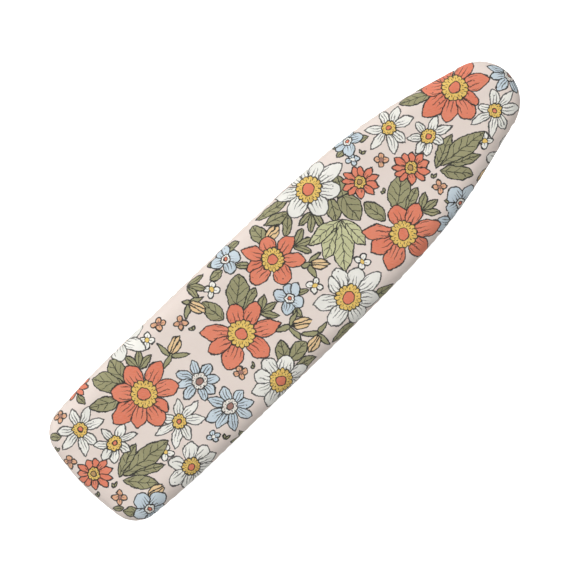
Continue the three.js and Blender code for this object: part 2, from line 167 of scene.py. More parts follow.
def lathe(name, profile, centre, axis, material, body, replaced=(), sides=40):
    """A turned piece. The profile lists (radius, height along the axis); radius 0 ends it on the axis."""
    axis = Vector(axis).normalized()
    side = axis.orthogonal().normalized()
    closed = profile[0][0] > 0 and profile[-1][0] > 0
    points = []
    for radius, height in profile:
        points += circle(Vector(centre) + axis * height, side, axis.cross(side), max(radius, 1e-4), sides)
    return weld(new_piece(name, points, ring_faces(len(profile), sides, closed), material, body, replaced))


def prism(name, outline, low, high, material, body, axes, origin, replaced=()):
    """A flat outline on the first two axes, pushed from low to high along the third."""
    a, b, c = axes
    points = [Vector(origin) + a * x + b * y + c * depth for depth in (low, high) for x, y in outline]
    return new_piece(name, points, capped_faces(2, len(outline)), material, body, replaced, smooth=False)


def weld(piece, distance=0.001):
    """Joins points that meet."""
    piece.modifiers.new("weld", "WELD").merge_threshold = distance * MM
    return piece


def soften(piece, width, segments=2):
    """Small rounded edges on a piece or a CAD node."""
    bevel = weld(piece).modifiers.new("bevel", "BEVEL")
    bevel.width = width * MM
    bevel.segments = segments
    bevel.limit_method = "ANGLE"
    bevel.angle_limit = math.radians(35)
    bevel.harden_normals = True


def keep_crisp(piece, degrees):
    """Keeps edges sharper than an angle crisp under smooth shading."""
    piece.data.set_sharp_from_angle(angle=math.radians(degrees))


# ================================================================ shader helpers
class Wire:
    """An output of a shader node. Arithmetic on it adds math nodes to the node tree."""

    def __init__(self, ink, socket):
        self.ink = ink
        self.socket = socket

    def __add__(self, other):
        return self.ink.work("ADD", self, other)

    def __sub__(self, other):
        return self.ink.work("SUBTRACT", self, other)

    def __mul__(self, other):
        return self.ink.work("MULTIPLY", self, other)

    def __truediv__(self, other):
        return self.ink.work("DIVIDE", self, other)

    def __abs__(self):
        return self.ink.work("ABSOLUTE", self)


def is_number(value):
    """Whether a node input is one number, rather than a vector or a colour."""
    return value.socket.type == "VALUE" if isinstance(value, Wire) else isinstance(value, (int, float))


class Ink:
    """Adds nodes to a node tree. Inputs may be numbers, tuples or wires."""

    def __init__(self, tree):
        self.nodes = tree.nodes
        self.links = tree.links

    def set(self, socket, value):
        if isinstance(value, Wire):
            self.links.new(value.socket, socket)
        elif isinstance(value, tuple) and socket.type == "RGBA":
            socket.default_value = (*value, 1)
        else:
            socket.default_value = value

    def node(self, kind, output, *values, **settings):
        """One output of a new node, whose first inputs take the values; None leaves an input as it is."""
        node = self.nodes.new("ShaderNode" + kind)
        for name, value in settings.items():
            setattr(node, name, value)
        for socket, value in zip(node.inputs, values):
            if value is not None:
                self.set(socket, value)
        return Wire(self, node.outputs[output])

    def use(self, group, **values):
        """The outputs of a new instance of a node group, by name."""
        node = self.nodes.new("ShaderNodeGroup")
        node.node_tree = group
        for name, value in values.items():
            self.set(node.inputs[name], value)
        return {socket.name: Wire(self, socket) for socket in node.outputs}

    def work(self, operation, *values):
        """A math node, or a vector math node where a value is a vector."""
        if all(is_number(v) for v in values):
            return self.node("Math", 0, *values, operation=operation)
        output = "Value" if operation in ("LENGTH", "DOT_PRODUCT") else "Vector"
        return self.node("VectorMath", output, *values, operation=operation)

    def least(self, a, b):
        return self.work("MINIMUM", a, b)

    def most(self, a, b):
        return self.work("MAXIMUM", a, b)

    def part(self, vector, axis):
        """One coordinate of a vector."""
        return self.work("DOT_PRODUCT", vector, tuple(float(k == axis) for k in range(3)))

    def join(self, x, y):
        return self.node("CombineXYZ", 0, x, y)

    def turned(self, vector, angle):
        return self.node("VectorRotate", 0, vector, None, None, angle, rotation_type="Z_AXIS")

    def mix(self, factor, a, b, kind="RGBA"):
        first, output = {"FLOAT": (2, 0), "VECTOR": (4, 1), "RGBA": (6, 2)}[kind]
        return self.node("Mix", output, factor, *[None] * (first - 1), a, b, data_type=kind)

    def ramp(self, value, low, high, to_low=0.0, to_high=1.0):
        """The value taken from one range to another, held at both ends."""
        settings = {"interpolation_type": "SMOOTHSTEP", "clamp": False}
        return self.node("MapRange", 0, value, low, high, to_low, to_high, **settings)

    def below(self, value, edge, soft=0.14):
        """1 where the value is under the edge, 0 above it, with a soft step."""
        if isinstance(edge, Wire):
            value = value - edge
            edge = 0.0
        return self.ramp(value, edge - soft, edge + soft, 1.0, 0.0)

    def near(self, value, edge, width, soft):
        """1 where the value is within a width of the edge."""
        return self.below(abs(value - edge), width, soft)

    def stripes(self, value, spacing):
        """The distance to the nearest of evenly spaced lines."""
        return self.work("PINGPONG", value, spacing / 2)

    def noise(self, vector, scale, detail=2.0, colour=False, flat=False):
        output = "Color" if colour else "Fac"
        dimensions = "2D" if flat else "3D"
        return self.node("TexNoise", output, vector, None, scale, detail, noise_dimensions=dimensions)

    def patches(self, place, scale, detail, low, high):
        """Ragged patches, 1 inside and 0 outside."""
        return self.ramp(self.noise(place, scale, detail), low, high)

    def cells(self, vector, scale, output="Color"):
        return self.node("TexVoronoi", output, vector, None, scale)

    def place(self):
        """The place on the piece, in metres."""
        return self.node("TexCoord", "Object")

    def attribute(self, name):
        return self.node("Attribute", "Vector", attribute_name=name)

    def bump(self, height, distance, strength):
        node = self.nodes.new("ShaderNodeBump")
        for name, value in (("Strength", strength), ("Distance", distance), ("Height", height)):
            self.set(node.inputs[name], value)
        return Wire(self, node.outputs[0])


class Paint(Ink):
    """A material."""

    def __init__(self, name):
        self.material = bpy.data.materials.new(name)
        self.material.use_nodes = True
        super().__init__(self.material.node_tree)

    def finish(self, **inputs):
        for name, value in inputs.items():
            self.set(self.nodes["Principled BSDF"].inputs[name.replace("_", " ")], value)
        return self.material


# the arguments and results of drawing functions that are colours or vectors; the others are numbers
COLOURS = ("under", "fill", "shade", "ring", "middle", "colour")
VECTORS = ("cloth", "place", "offset", "point", "centre", "arc", "local")


def shared(draw, *outputs):
    """A node group that a function draws once. The function's arguments, after the ink, are its inputs."""
    group = bpy.data.node_groups.new(draw.__name__, "ShaderNodeTree")
    inputs = list(inspect.signature(draw).parameters)[1:]
    for side, names in (("INPUT", inputs), ("OUTPUT", outputs)):
        for name in names:
            kind = "Color" if name in COLOURS else "Vector" if name in VECTORS else "Float"
            group.interface.new_socket(name, in_out=side, socket_type="NodeSocket" + kind)
    ink = Ink(group)
    entry = group.nodes.new("NodeGroupInput")
    results = draw(ink, *[Wire(ink, entry.outputs[name]) for name in inputs])
    leave = group.nodes.new("NodeGroupOutput")
    for name, value in zip(outputs, results if isinstance(results, tuple) else (results,)):
        ink.set(leave.inputs[name], value)
    return group


def rgb(*levels):
    """A screen colour, with levels from 0 to 255, as the linear colour that nodes use."""
    return tuple(c / 255 / 12.92 if c <= 10 else ((c / 255 + 0.055) / 1.055) ** 2.4 for c in levels)


# ================================================================ plain materials
def make_powder_coat():
    ink = Paint("powder_coat")
    place = ink.place()
    colour = ink.mix(ink.noise(place, 12, 3), rgb(240, 239, 235), rgb(231, 229, 223))
    grime = ink.patches(place, 45, 5, 0.58, 0.75) * 0.35
    colour = ink.mix(grime, colour, rgb(186, 180, 168))
    chips = ink.patches(place, 300, 2, 0.735, 0.75) * 0.7
    colour = ink.mix(chips, colour, rgb(140, 140, 138))
    rough = ink.ramp(ink.noise(place, 60, 3), 0.3, 0.7, 0.3, 0.46)
    orange_peel = ink.bump(ink.noise(place, 900, 1), 0.00008, 0.6)
    return ink.finish(Base_Color=colour, Roughness=rough, Normal=orange_peel, Coat_Weight=0.15)


def make_galvanised():
    ink = Paint("galvanised_steel")
    place = ink.place()
    spangle = ink.node("RGBToBW", 0, ink.cells(place, 240))
    colour = ink.mix(spangle, rgb(172, 176, 178), rgb(206, 209, 210))
    stain = ink.patches(place, 30, 4, 0.55, 0.8) * 0.4
    colour = ink.mix(stain, colour, rgb(150, 149, 144))
    rough = ink.ramp(spangle, 0.0, 1.0, 0.34, 0.52)
    grain = ink.bump(ink.noise(place, 500, 2), 0.00005, 0.4)
    return ink.finish(Base_Color=colour, Metallic=0.9, Roughness=rough, Normal=grain)


def make_zinc():
    ink = Paint("zinc_plate")
    place = ink.place()
    colour = ink.mix(0.08, rgb(200, 202, 205), ink.noise(place, 70, 3, colour=True))
    scratch = ink.noise(place * (60.0, 2200.0, 2200.0), 1, 2)
    rough = ink.ramp(scratch, 0.3, 0.7, 0.24, 0.42)
    grain = ink.bump(scratch, 0.00003, 0.4)
    return ink.finish(Base_Color=colour, Metallic=1.0, Roughness=rough, Normal=grain)


def make_rubber():
    ink = Paint("rubber")
    place = ink.place()
    dust = ink.patches(place, 80, 5, 0.45, 0.8)
    colour = ink.mix(dust * 0.35, rgb(62, 62, 64), rgb(112, 109, 104))
    edge = ink.ramp(ink.node("NewGeometry", "Pointiness"), 0.52, 0.6)
    worn = edge * ink.patches(place, 90, 4, 0.48, 0.6) * 0.5
    colour = ink.mix(worn, colour, rgb(120, 118, 114))
    grain = ink.bump(ink.noise(place, 1500, 2), 0.0001, 0.5)
    return ink.finish(Base_Color=colour, Roughness=ink.ramp(dust, 0, 1, 0.62, 0.85), Normal=grain)


def make_nylon():
    ink = Paint("nylon")
    place = ink.place()
    colour = ink.mix(ink.noise(place, 40, 3), rgb(226, 222, 209), rgb(208, 203, 188))
    flow = ink.noise(place * (200.0, 900.0, 200.0), 1, 2)
    rough = ink.ramp(flow, 0.3, 0.7, 0.36, 0.5)
    ink.finish(Subsurface_Weight=0.08, Subsurface_Radius=(0.002, 0.0018, 0.0014))
    return ink.finish(Base_Color=colour, Roughness=rough, Normal=ink.bump(flow, 0.00005, 0.4))


def make_knob_plastic():
    ink = Paint("knob_plastic")
    place = ink.place()
    dust = ink.patches(place, 120, 4, 0.5, 0.8)
    colour = ink.mix(dust * 0.3, rgb(44, 45, 48), rgb(84, 84, 86))
    grain = ink.bump(ink.cells(place, 1400, "Distance"), 0.00006, 0.5)
    return ink.finish(Base_Color=colour, Roughness=ink.ramp(dust, 0, 1, 0.38, 0.6), Normal=grain)


def make_felt():
    ink = Paint("felt_foam")
    place = ink.place()
    fibre = ink.noise(place * (900.0, 2600.0, 900.0), 1, 4)
    colour = ink.mix(fibre, rgb(196, 190, 178), rgb(228, 223, 212))
    fleck = ink.patches(place, 700, 2, 0.62, 0.7) * 0.5
    colour = ink.mix(fleck, colour, rgb(150, 142, 128))
    fluff = ink.bump(fibre, 0.0006, 0.8)
    return ink.finish(Base_Color=colour, Roughness=0.95, Normal=fluff, Sheen_Weight=0.3)


def make_thread():
    ink = Paint("sewing_thread")
    twist = ink.noise(ink.place() * (2500.0, 2500.0, 900.0), 1, 1)
    colour = ink.mix(twist, rgb(238, 232, 222), rgb(214, 205, 192))
    return ink.finish(Base_Color=colour, Roughness=0.7, Normal=ink.bump(twist, 0.0001, 0.6), Sheen_Weight=0.2)


def make_elastic():
    ink = Paint("elastic_webbing")
    cloth = ink.attribute("cloth_mm")
    rib = ink.stripes(ink.part(cloth, 1), 1.1)
    knit = ink.stripes(ink.part(cloth, 0), 0.8)
    weave = rib + knit * 0.6
    # painted shade: the white band is coloured darker where its relief is lowest, in the grooves between the
    # ribs and the knit
    colour = ink.mix(ink.ramp(weave, 0, 0.8), rgb(206, 202, 194), rgb(240, 238, 232))
    return ink.finish(Base_Color=colour, Roughness=0.8, Normal=ink.bump(weave, 0.0004, 0.8), Sheen_Weight=0.2)


# ================================================================ the flower print
# The cotton is printed with a pen-and-wash garden. Places on the cloth are (right, up) from the middle of the
# board, in a cloth frame turned to the board by CLOTH_ANGLE. A petal is (direction in degrees, how far its
# tip reaches, half its width), and a leaf is (where it starts, where its tip is, half its width).
CLOTH_ANGLE = math.radians(44)
LINE = rgb(12, 10, 7)
GROUND = rgb(231, 218, 210)
GROUND_SHADE = rgb(226, 211, 202)
CORAL = rgb(222, 119, 88)
CORAL_LIGHT = rgb(227, 132, 102)
YELLOW = rgb(232, 197, 99)
YELLOW_DARK = rgb(218, 177, 84)
WHITE = rgb(241, 239, 232)
WHITE_SHADE = rgb(226, 225, 218)
OLIVE = rgb(153, 150, 109)
OLIVE_DARK = rgb(139, 136, 97)
LIGHT_GREEN = rgb(201, 201, 156)
LIGHT_GREEN_SHADE = rgb(184, 185, 138)
BLUE = rgb(204, 217, 225)
BLUE_DARK = rgb(189, 204, 214)
PALE_RING = rgb(219, 211, 202)
PEACH = rgb(230, 197, 147)
ORANGE = rgb(224, 168, 130)
OCHRE = rgb(180, 141, 86)
BROWN = rgb(152, 108, 96)

PEN = 0.57  # half the width of a pen line
VEIN_SPACING = 7.4
FIRST_VEIN = 3.0  # how far before the middle of a leaf one pair of its veins starts
TINY_EYE = 0.9  # how far from the middle of a tiny flower its petals start
FAR = 1000.0  # further than any edge on the cloth
SIDE_DROP = 13.5  # how far past the outline the motifs down the side of the board sit
LOWER_DROP = SIDE_DROP + 10
SIDE_MOTIFS = 36
SIDE_KINDS = 6  # kinds of motif that take turns round the side
SIDE_SPACING = 5  # outline stations from one motif to the next

WIDE_PLACES = [(-46.5, -46.5), (91.5, 38.5)]
FULL_PLACES = [(-129.5, -98), (135, 163.5)]

WIDE_CORAL = [
    (178, 35.5, 7.2), (107, 26, 7.8), (63, 30, 7.3), (14, 34.5, 7.2), (321, 29.5, 8.6), (248, 33, 9),
    (208, 32, 7.5),
]
SMALL_CORAL = [
    (0, 28, 6.5), (48, 26.5, 6.5), (110, 20.5, 8), (163, 27.5, 6.5), (200, 24, 5.5), (228, 27, 8),
    (304, 23.5, 8),
]
FULL_CORAL = [
    (15, 31, 7.5), (64, 32, 7.5), (123, 28, 8.5), (177, 28.5, 8.5), (223, 36.5, 8.5), (257, 30, 7.5),
    (299, 31, 8.5), (324, 25, 6),
]
ANEMONE = [
    (191, 31.5, 6.8), (133, 24, 7), (114, 28, 7.5), (72, 27, 8), (37, 35, 6.8), (357, 27.5, 8),
    (300, 26, 8.5), (238, 28.5, 8),
]
ROUND_ANEMONE = [
    (129, 25, 7), (75, 22.5, 7.5), (167, 23, 7), (202, 27, 6.5), (27, 26, 6.5), (335, 24, 8),
    (290, 25, 8), (245, 26, 8),
]
LITTLE_ANEMONE = [
    (168, 21, 5.5), (91, 21.5, 6.8), (54, 22.5, 6.5), (26, 24, 5.5), (221, 24, 6.5), (345, 24, 7),
    (302, 24, 7), (262, 22, 7),
]
DAISY_DIRECTIONS = (17, 347, 319, 272, 230, 206, 180, 152, 116, 86, 49)
DAISY_TIPS = (16.5, 16, 15.5, 14.5, 14.5, 16, 15.5, 16, 13.5, 13.5, 16)
DAISY = [(direction, tip, 3.3) for direction, tip in zip(DAISY_DIRECTIONS, DAISY_TIPS)]
STAR_A = [
    (185, 20.6, 4.2), (229, 23.7, 4), (283, 23, 4.2), (319, 19, 4.2), (24, 22.4, 4.2), (67, 21.7, 4),
    (113, 19, 4),
]
STAR_B = [
    (130, 16.5, 3.4), (64, 18.5, 4), (24, 22, 3.5), (337, 15, 4), (268, 17.5, 4.2), (236, 18, 4),
    (187, 18, 3.6),
]
STAR_C = [
    (95, 18.5, 4.4), (47, 23.7, 4), (6, 22.6, 4.4), (301, 18.6, 4.2), (261, 23.8, 4), (210, 23.7, 3.6),
    (168, 15, 4),
]
BLUE_DAISY_A = [
    (162, 21.5, 4.2), (190, 19.5, 4), (231, 20, 4.2), (288, 18, 4.2), (323, 17, 4.2), (7, 17, 4.2),
    (56, 17.5, 4.4), (108, 18, 4.2),
]
BLUE_DAISY_B = [
    (160, 19.5, 4.4), (211, 24, 4.8), (240, 21.5, 4.6), (282, 22, 4.6), (336, 21.5, 4.4), (11, 20.3, 4.4),
    (48, 18, 4.4), (109, 17.5, 4.6),
]
BIG_PANSY = [(131, 17.5, 7.2), (49, 18.5, 7.4), (350, 15, 6.5), (278, 14, 6.5), (208, 15, 6.5)]
PANSY = [(97, 12.8, 4.6), (62, 14.3, 4.8), (163, 14.3, 5.4), (258, 14, 5.2), (335, 12.8, 5.4)]
CORAL_LEAVES = [((-5, 19), (-1.5, 51), 10), ((1, 20), (12, 40), 5), ((-15, 12), (-33.5, 26.5), 6.8)]
FULL_CORAL_LEAVES = [((-20, -5), (-47, -12), 6.2), ((-14, 8), (-31, 30), 7.5), ((-14, 7), (-46, 13), 9)]
BIG_SPRAY = [
    ((0, 0), (13.5, 28.5), 5.6), ((3, 2), (42, 31), 8.6), ((10, 3), (39, 11), 4.6),
    ((4, -2.5), (33, -5.5), 6.2),
]
PALE_SPRAY = [
    ((0, 0), (-27, -22), 6.6), ((-2, -5), (-14, -34), 7), ((0, 0), (4, -44.5), 9.6),
    ((1, 0), (21, -22), 6.6),
]
TRIAD = [((0, 0), (17.5, 0), 3.3), ((0, 0), (12, 11.5), 3.3), ((0, 0), (12.5, -10.5), 3.2)]
SPROUT = [((0, -2), (-2.4, 1.2), 1.1), ((0, -2), (1.9, 2.4), 1.1)]
STEMS = [
    ((-18, -44.5), (-2, -39.5), 2.2), ((-6, -42), (0.5, -27), 2.2), ((-6, -41), (5, -51.5), 2.4),
    ((4, -47), (22, -46), 2.3), ((18, -48), (26.5, -36), 2.2), ((18, -47), (30, -56.5), 2.4),
    ((3, 11.5), (15, 13), 2.2), ((10, 12), (20.5, 23), 2.2), ((10, 13), (17, 1.5), 2.4),
    ((-98, -19.5), (-86, -21.5), 2.2), ((-93, -21), (-79, -15), 2.2), ((-92, -19), (-94, -34), 2.4),
    ((-113, -77), (-105.5, -62), 2.2), ((-107, -67), (-118, -54.5), 2.3), ((-108, -66), (-91, -64), 2.4),
    ((-28, 30), (-23, 36), 2.2),
]
BUD = [((0, 0), (16.2, 0.3), 2.9), ((0, 1.8), (14, 2.5), 2.8), ((0, -1.8), (13.6, -2.1), 2.7)]
LOOSE_LEAVES = [
    ((-36, 51), (-7, 69), 5), ((-27, 46), (-5, 57), 4.6), ((-9, 36), (-6, 57), 4.4),
    ((-26, 30), (-38, 46), 7), ((29, 69), (34.5, 50), 6), ((37, 74), (54.5, 51), 9),
    ((41, 66), (35, 88), 6.5), ((-9, -73), (-13, -52), 6.2), ((-6, -69), (9, -53), 6.5),
    ((0, -74), (18.5, -67), 4.4), ((-1, -12), (11, -9), 2.8), ((-3, -24), (5, -32), 3.2),
    ((-52, 12), (-40, 11.5), 3.1), ((-61, 25), (-50, 33), 4), ((-65, 15), (-77, 13), 3.4),
    ((-63, 8), (-74, -1), 4), ((49, 119), (61, 121.5), 2.9), ((43, 113), (34, 104), 3.5),
    ((-133, -199), (-148, -199), 4.2), ((-147, -195), (-158, -198), 2.8), ((-181, -107), (-188, -98), 3),
    ((-201, -134), (-213, -136), 3.4), ((140, 67), (127, 67), 3.2), ((66, -17), (85, -6), 4.8),
    ((32, -55), (53, -36), 5),
]


def on_board(x, y):
    """A place on the cloth from board coordinates, along and across the board."""
    c, s = math.cos(CLOTH_ANGLE), math.sin(CLOTH_ANGLE)
    return (x * c - y * s, x * s + y * c)


def next_place(ink, cloth, place, place_turn, offset, distance, turn):
    """Takes one more place of a repeated motif into account: the cloth is seen from the nearest place."""
    here = cloth - place
    length = ink.work("LENGTH", here)
    closer = ink.work("LESS_THAN", length, distance)
    offset = ink.mix(closer, offset, here, "VECTOR")
    turn = ink.mix(closer, turn, place_turn, "FLOAT")
    return offset, ink.least(length, distance), turn


def next_shape(ink, point, centre, turn, arc, edge, nearest, second, local):
    """Takes one more petal or leaf into a cluster. Its outline is two arcs, mirrored about its length."""
    here = ink.turned(point - centre, turn)
    distance = ink.work("LENGTH", abs(here) + arc) - edge
    closer = ink.work("LESS_THAN", distance, nearest)
    local = ink.mix(closer, local, here, "VECTOR")
    further = ink.most(nearest, distance)
    return ink.least(nearest, distance), ink.least(second, further), local


def pen_line(ink, under, mask, pressure):
    return ink.mix(mask * pressure, under, LINE)


def edge_mask(ink, nearest, second):
    """Pen lines round a cluster and along the seams where its shapes overlap."""
    edge = ink.below(abs(nearest), PEN)
    seam = ink.below(second - nearest, PEN * 1.7)
    return ink.most(edge, seam * ink.below(nearest, 0.0))


def filled(ink, under, pressure, nearest, second, fill):
    """A flat fill with a pen outline, for stems and small things."""
    under = ink.mix(ink.below(nearest, 0.0), under, fill)
    return pen_line(ink, under, edge_mask(ink, nearest, second), pressure)


def leaf(ink, under, pressure, wash, nearest, second, local, fill, shade, veins):
    """A leaf with a midrib and slanting side veins."""
    tone = ink.mix(ink.ramp(wash, 0.35, 0.65) * 0.55, fill, shade)
    under = ink.mix(ink.below(nearest, 0.0), under, tone)
    x, y = ink.part(local, 0), ink.part(local, 1)
    side = abs(y)
    rib = ink.below(side, PEN * 0.75)
    slant = x - side * 1.15
    vein = ink.below(ink.stripes(slant + FIRST_VEIN, VEIN_SPACING), PEN * 0.8)
    vein = vein * ink.below(nearest, -1.3, 0.4) * veins
    rib = rib * ink.below(nearest, -0.9, 0.3)
    under = pen_line(ink, under, ink.most(rib, vein) * 0.9, pressure)
    return pen_line(ink, under, edge_mask(ink, nearest, second), pressure)


def petal(ink, under, pressure, wash, fleck, nearest, second, local, fill, shade, spacing, reach, strength):
    """A petal with pen strokes that run out from the middle of the flower and a few freckles."""
    x, y, number = [ink.part(local, axis) for axis in range(3)]
    # each petal has its own tone
    grain = ink.stripes(number * 0.37 + wash, 1.0)
    tone = ink.mix(grain * 1.5, fill, shade)
    under = ink.mix(ink.below(nearest, 0.0), under, tone)
    # strokes of uneven length, on both sides of the petal's middle
    lines = ink.below(ink.stripes(y + spacing * 0.5, spacing), PEN * 0.75)
    uneven = ink.work("SINE", y * 2.9 + number * 1.7)
    limit = uneven * 3.2 + reach
    inside = ink.below(nearest, -1.4, 0.4)
    marks = lines * ink.below(x, limit, 0.5) * inside
    marks = ink.most(marks, ink.below(fleck, 0.10, 0.02) * inside)
    under = pen_line(ink, under, marks * strength * 0.85, pressure)
    return pen_line(ink, under, edge_mask(ink, nearest, second) * strength, pressure)


def eye(ink, under, pressure, mottle, point, radius, core, scallops, ring, shade, middle):
    """The scalloped ring of stamens and the round core in the middle of a flower."""
    out = ink.work("LENGTH", point * (1.0, 1.0, 0.0))
    around = ink.work("ARCTAN2", ink.part(point, 1), ink.part(point, 0))
    phase = around * (scallops * 0.5)
    lobe = abs(ink.work("SINE", phase))
    past = out - (lobe * 0.11 + 0.93) * radius
    under = ink.mix(ink.below(past, 0.0), under, ink.mix(mottle, ring, shade))
    depth = past / radius
    # notches between the scallops, and a stamen in each
    notch = ink.below(lobe, 0.3, 0.1) * ink.ramp(depth, -0.24, -0.16) * ink.below(past, 0.3)
    stamen = ink.below(abs(ink.work("COSINE", phase)), 0.26, 0.1) * ink.near(depth, -0.36, 0.08, 0.03)
    from_core = out - core
    marks = ink.most(ink.most(notch, stamen), ink.below(abs(past), PEN))
    under = pen_line(ink, under, marks, pressure)
    under = ink.mix(ink.below(from_core, 0.0), under, middle)
    return pen_line(ink, under, ink.below(abs(from_core), PEN * 0.8), pressure)


def tiny_flower(ink, under, pressure, point, reach, arc, edge, fill, middle):
    """Four round petals, drawn once and mirrored."""
    folded = abs(point)
    x, y = ink.part(folded, 0), ink.part(folded, 1)
    along, aside = ink.most(x, y), ink.least(x, y)
    from_middle = along - (reach + TINY_EYE) * 0.5
    distance = ink.work("LENGTH", abs(ink.join(from_middle, aside)) + arc) - edge
    under = ink.mix(ink.below(distance, 0.0), under, fill)
    out = ink.work("LENGTH", ink.join(along, aside)) / reach
    stroke = ink.below(aside, 0.18) * ink.below(out, 0.6, 0.05)
    under = pen_line(ink, under, ink.most(ink.below(abs(distance), PEN), stroke), pressure)
    under = ink.mix(ink.below(out, 0.27, 0.02), under, middle)
    return pen_line(ink, under, ink.near(out, 0.28, 0.035, 0.02), pressure)


def arcs(length, half_width, rounding):
    """The two arcs that bound a petal of a length and half width: (offset of their centre, radius)."""
    half = length / 2 - rounding
    width = min(half_width - rounding, half * 0.98)
    radius = (half * half + width * width) / (2 * width)
    return radius - width, radius + rounding


class Garden(Paint):
    """Paints the print, layer over layer, on the cloth's own coordinates."""

    def __init__(self, name):
        super().__init__(name)
        self.next_place = shared(next_place, "offset", "distance", "turn")
        self.next_shape = shared(next_shape, "nearest", "second", "local")
        self.layers = {draw: shared(draw, "colour") for draw in (filled, leaf, petal, eye, tiny_flower)}
        self.flat_cloth = self.attribute("cloth_mm")
        self.cloth = self.flat_cloth + (self.wobble(0.10, 3.2) + self.wobble(0.55, 1.1))
        # what a layer can ask for, besides its own settings
        self.known = {
            "pressure": self.ramp(self.noise(self.flat_cloth, 0.22, 2, flat=True), 0.3, 0.7, 0.93, 1.0),
            "wash": self.noise(self.flat_cloth, 0.05, 3, flat=True),
            "mottle": self.ramp(self.noise(self.flat_cloth, 0.35, 2, flat=True), 0.42, 0.65),
            "fleck": self.cells(self.flat_cloth, 0.16, "Distance"),
        }
        self.known["under"] = self.mix(self.known["wash"], GROUND, GROUND_SHADE)

    def wobble(self, scale, size):
        """Small shifts of the print that make its lines look drawn by hand."""
        noise = self.noise(self.flat_cloth, scale, 1, colour=True, flat=True)
        return (noise - (0.5, 0.5, 0.5)) * (size, size, 0.0)

    def paint(self, draw, **values):
        """Lays one more layer over the print."""
        wanted = inspect.signature(draw).parameters
        known = {name: value for name, value in self.known.items() if name in wanted}
        self.known["under"] = self.use(self.layers[draw], **known, **values)["colour"]

    def nearest(self, places, turns=None):
        """Where the cloth is, seen from the nearest of several places, each with its own turn in degrees."""
        seen = {"offset": (0.0, 0.0, 0.0), "distance": FAR, "turn": 0.0}
        for i, place in enumerate(places):
            place_turn = -math.radians(turns[i]) if turns else 0.0
            here = {"cloth": self.cloth, "place": (*place, 0.0), "place_turn": place_turn}
            seen = self.use(self.next_place, **here, **seen)
        return self.turned(seen["offset"], seen["turn"]) if turns else seen["offset"]

    def cluster(self, point, shapes, rounding=0.0):
        """Overlapping petals or leaves: the nearest edge, the next, and the place in the nearest shape."""
        found = {"nearest": FAR, "second": FAR, "local": (0.0, 0.0, 0.0)}
        for number, (start, tip, half_width) in enumerate(shapes):
            dx, dy = tip[0] - start[0], tip[1] - start[1]
            offset, edge = arcs(math.hypot(dx, dy), half_width, rounding)
            level = -float(number)  # tells the shapes apart, as the third coordinate of "local"
            centre = ((start[0] + tip[0]) / 2, (start[1] + tip[1]) / 2, level)
            shape = {"centre": centre, "turn": -math.atan2(dy, dx), "arc": (0.0, offset, level), "edge": edge}
            found = self.use(self.next_shape, point=point, **shape, **found)
        return found

    def leaves(self, point, shapes, fill=OLIVE, shade=OLIVE_DARK, veins=1.0):
        self.paint(leaf, **self.cluster(point, shapes), fill=fill, shade=shade, veins=veins)

    def petals(self, point, petals, start, fill, shade, rounding=0.0, spacing=2.2, reach=0.2, strength=1.0):
        """A ring of petals; reach is how far the strokes run past the middle of a petal."""
        shapes = []
        for direction, tip, half_width in petals:
            c, s = math.cos(math.radians(direction)), math.sin(math.radians(direction))
            shapes.append(((start * c, start * s), (tip * c, tip * s), half_width))
        strokes = {"spacing": spacing, "reach": reach, "strength": strength}
        self.paint(petal, **self.cluster(point, shapes, rounding), fill=fill, shade=shade, **strokes)

    def eye(self, point, radius, core, scallops, ring=YELLOW, middle=CORAL, shade=YELLOW_DARK):
        size = {"point": point, "radius": radius, "core": core, "scallops": scallops}
        self.paint(eye, **size, ring=ring, middle=middle, shade=shade)

    def small_shapes(self, point, shapes, fill, rounding=0.0):
        found = self.cluster(point, shapes, rounding)
        self.paint(filled, nearest=found["nearest"], second=found["second"], fill=fill)

    def tiny_flowers(self, places, turn, reach, half_width, fill, middle):
        point = self.nearest(places, [turn + 3 * (i % 5) for i in range(len(places))])
        offset, edge = arcs(reach - TINY_EYE, half_width, half_width * 0.45)
        size = {"point": point, "reach": reach, "arc": (0.0, offset, 0.0), "edge": edge}
        self.paint(tiny_flower, **size, fill=fill, middle=middle)

    def sprouts(self, places):
        turns = [25 * (i % 4) - 30 for i in range(len(places))]
        self.small_shapes(self.nearest(places, turns), SPROUT, OLIVE)


def round_the_side(out, kind):
    """Evenly spread places on the hanging cloth for one kind of motif, a distance out from the outline."""
    count = SIDE_MOTIFS * SIDE_SPACING
    outline, normals, _ = outline_stations(count)
    stations = range(SIDE_SPACING // 2 + kind * SIDE_SPACING, count, SIDE_KINDS * SIDE_SPACING)
    return [on_board(*(outline[i] + normals[i] * out)) for i in stations]


def make_printed_cotton():
    g = Garden("printed_cotton")
    draw_small_things(g)
    draw_leaves_and_buds(g)
    draw_white_flowers(g)
    draw_daisies_and_lilies(g)
    draw_blue_flowers(g)
    draw_coral_flowers(g)

    # plain weave: threads over and under, seen as fine relief and a faint fleck of colour
    along_pitch, across_pitch = 0.7, 0.75
    weave = g.work("SINE", g.flat_cloth * (2 * math.pi / along_pitch, 2 * math.pi / across_pitch, 0.0))
    crossing = g.part(weave, 0) * g.part(weave, 1)
    slub = g.noise(g.flat_cloth * (0.25, 3.5, 1.0), 1, 3, flat=True)
    colour = g.mix(g.ramp(slub, 0.25, 0.75, 0.0, 0.08), g.known["under"], rgb(255, 252, 246))
    relief = g.bump(crossing * 0.5 + slub, 0.0002, 0.6)
    g.finish(Base_Color=colour, Roughness=0.88, Normal=relief)
    return g.finish(Sheen_Weight=0.15, Sheen_Roughness=0.5, Specular_IOR_Level=0.2)


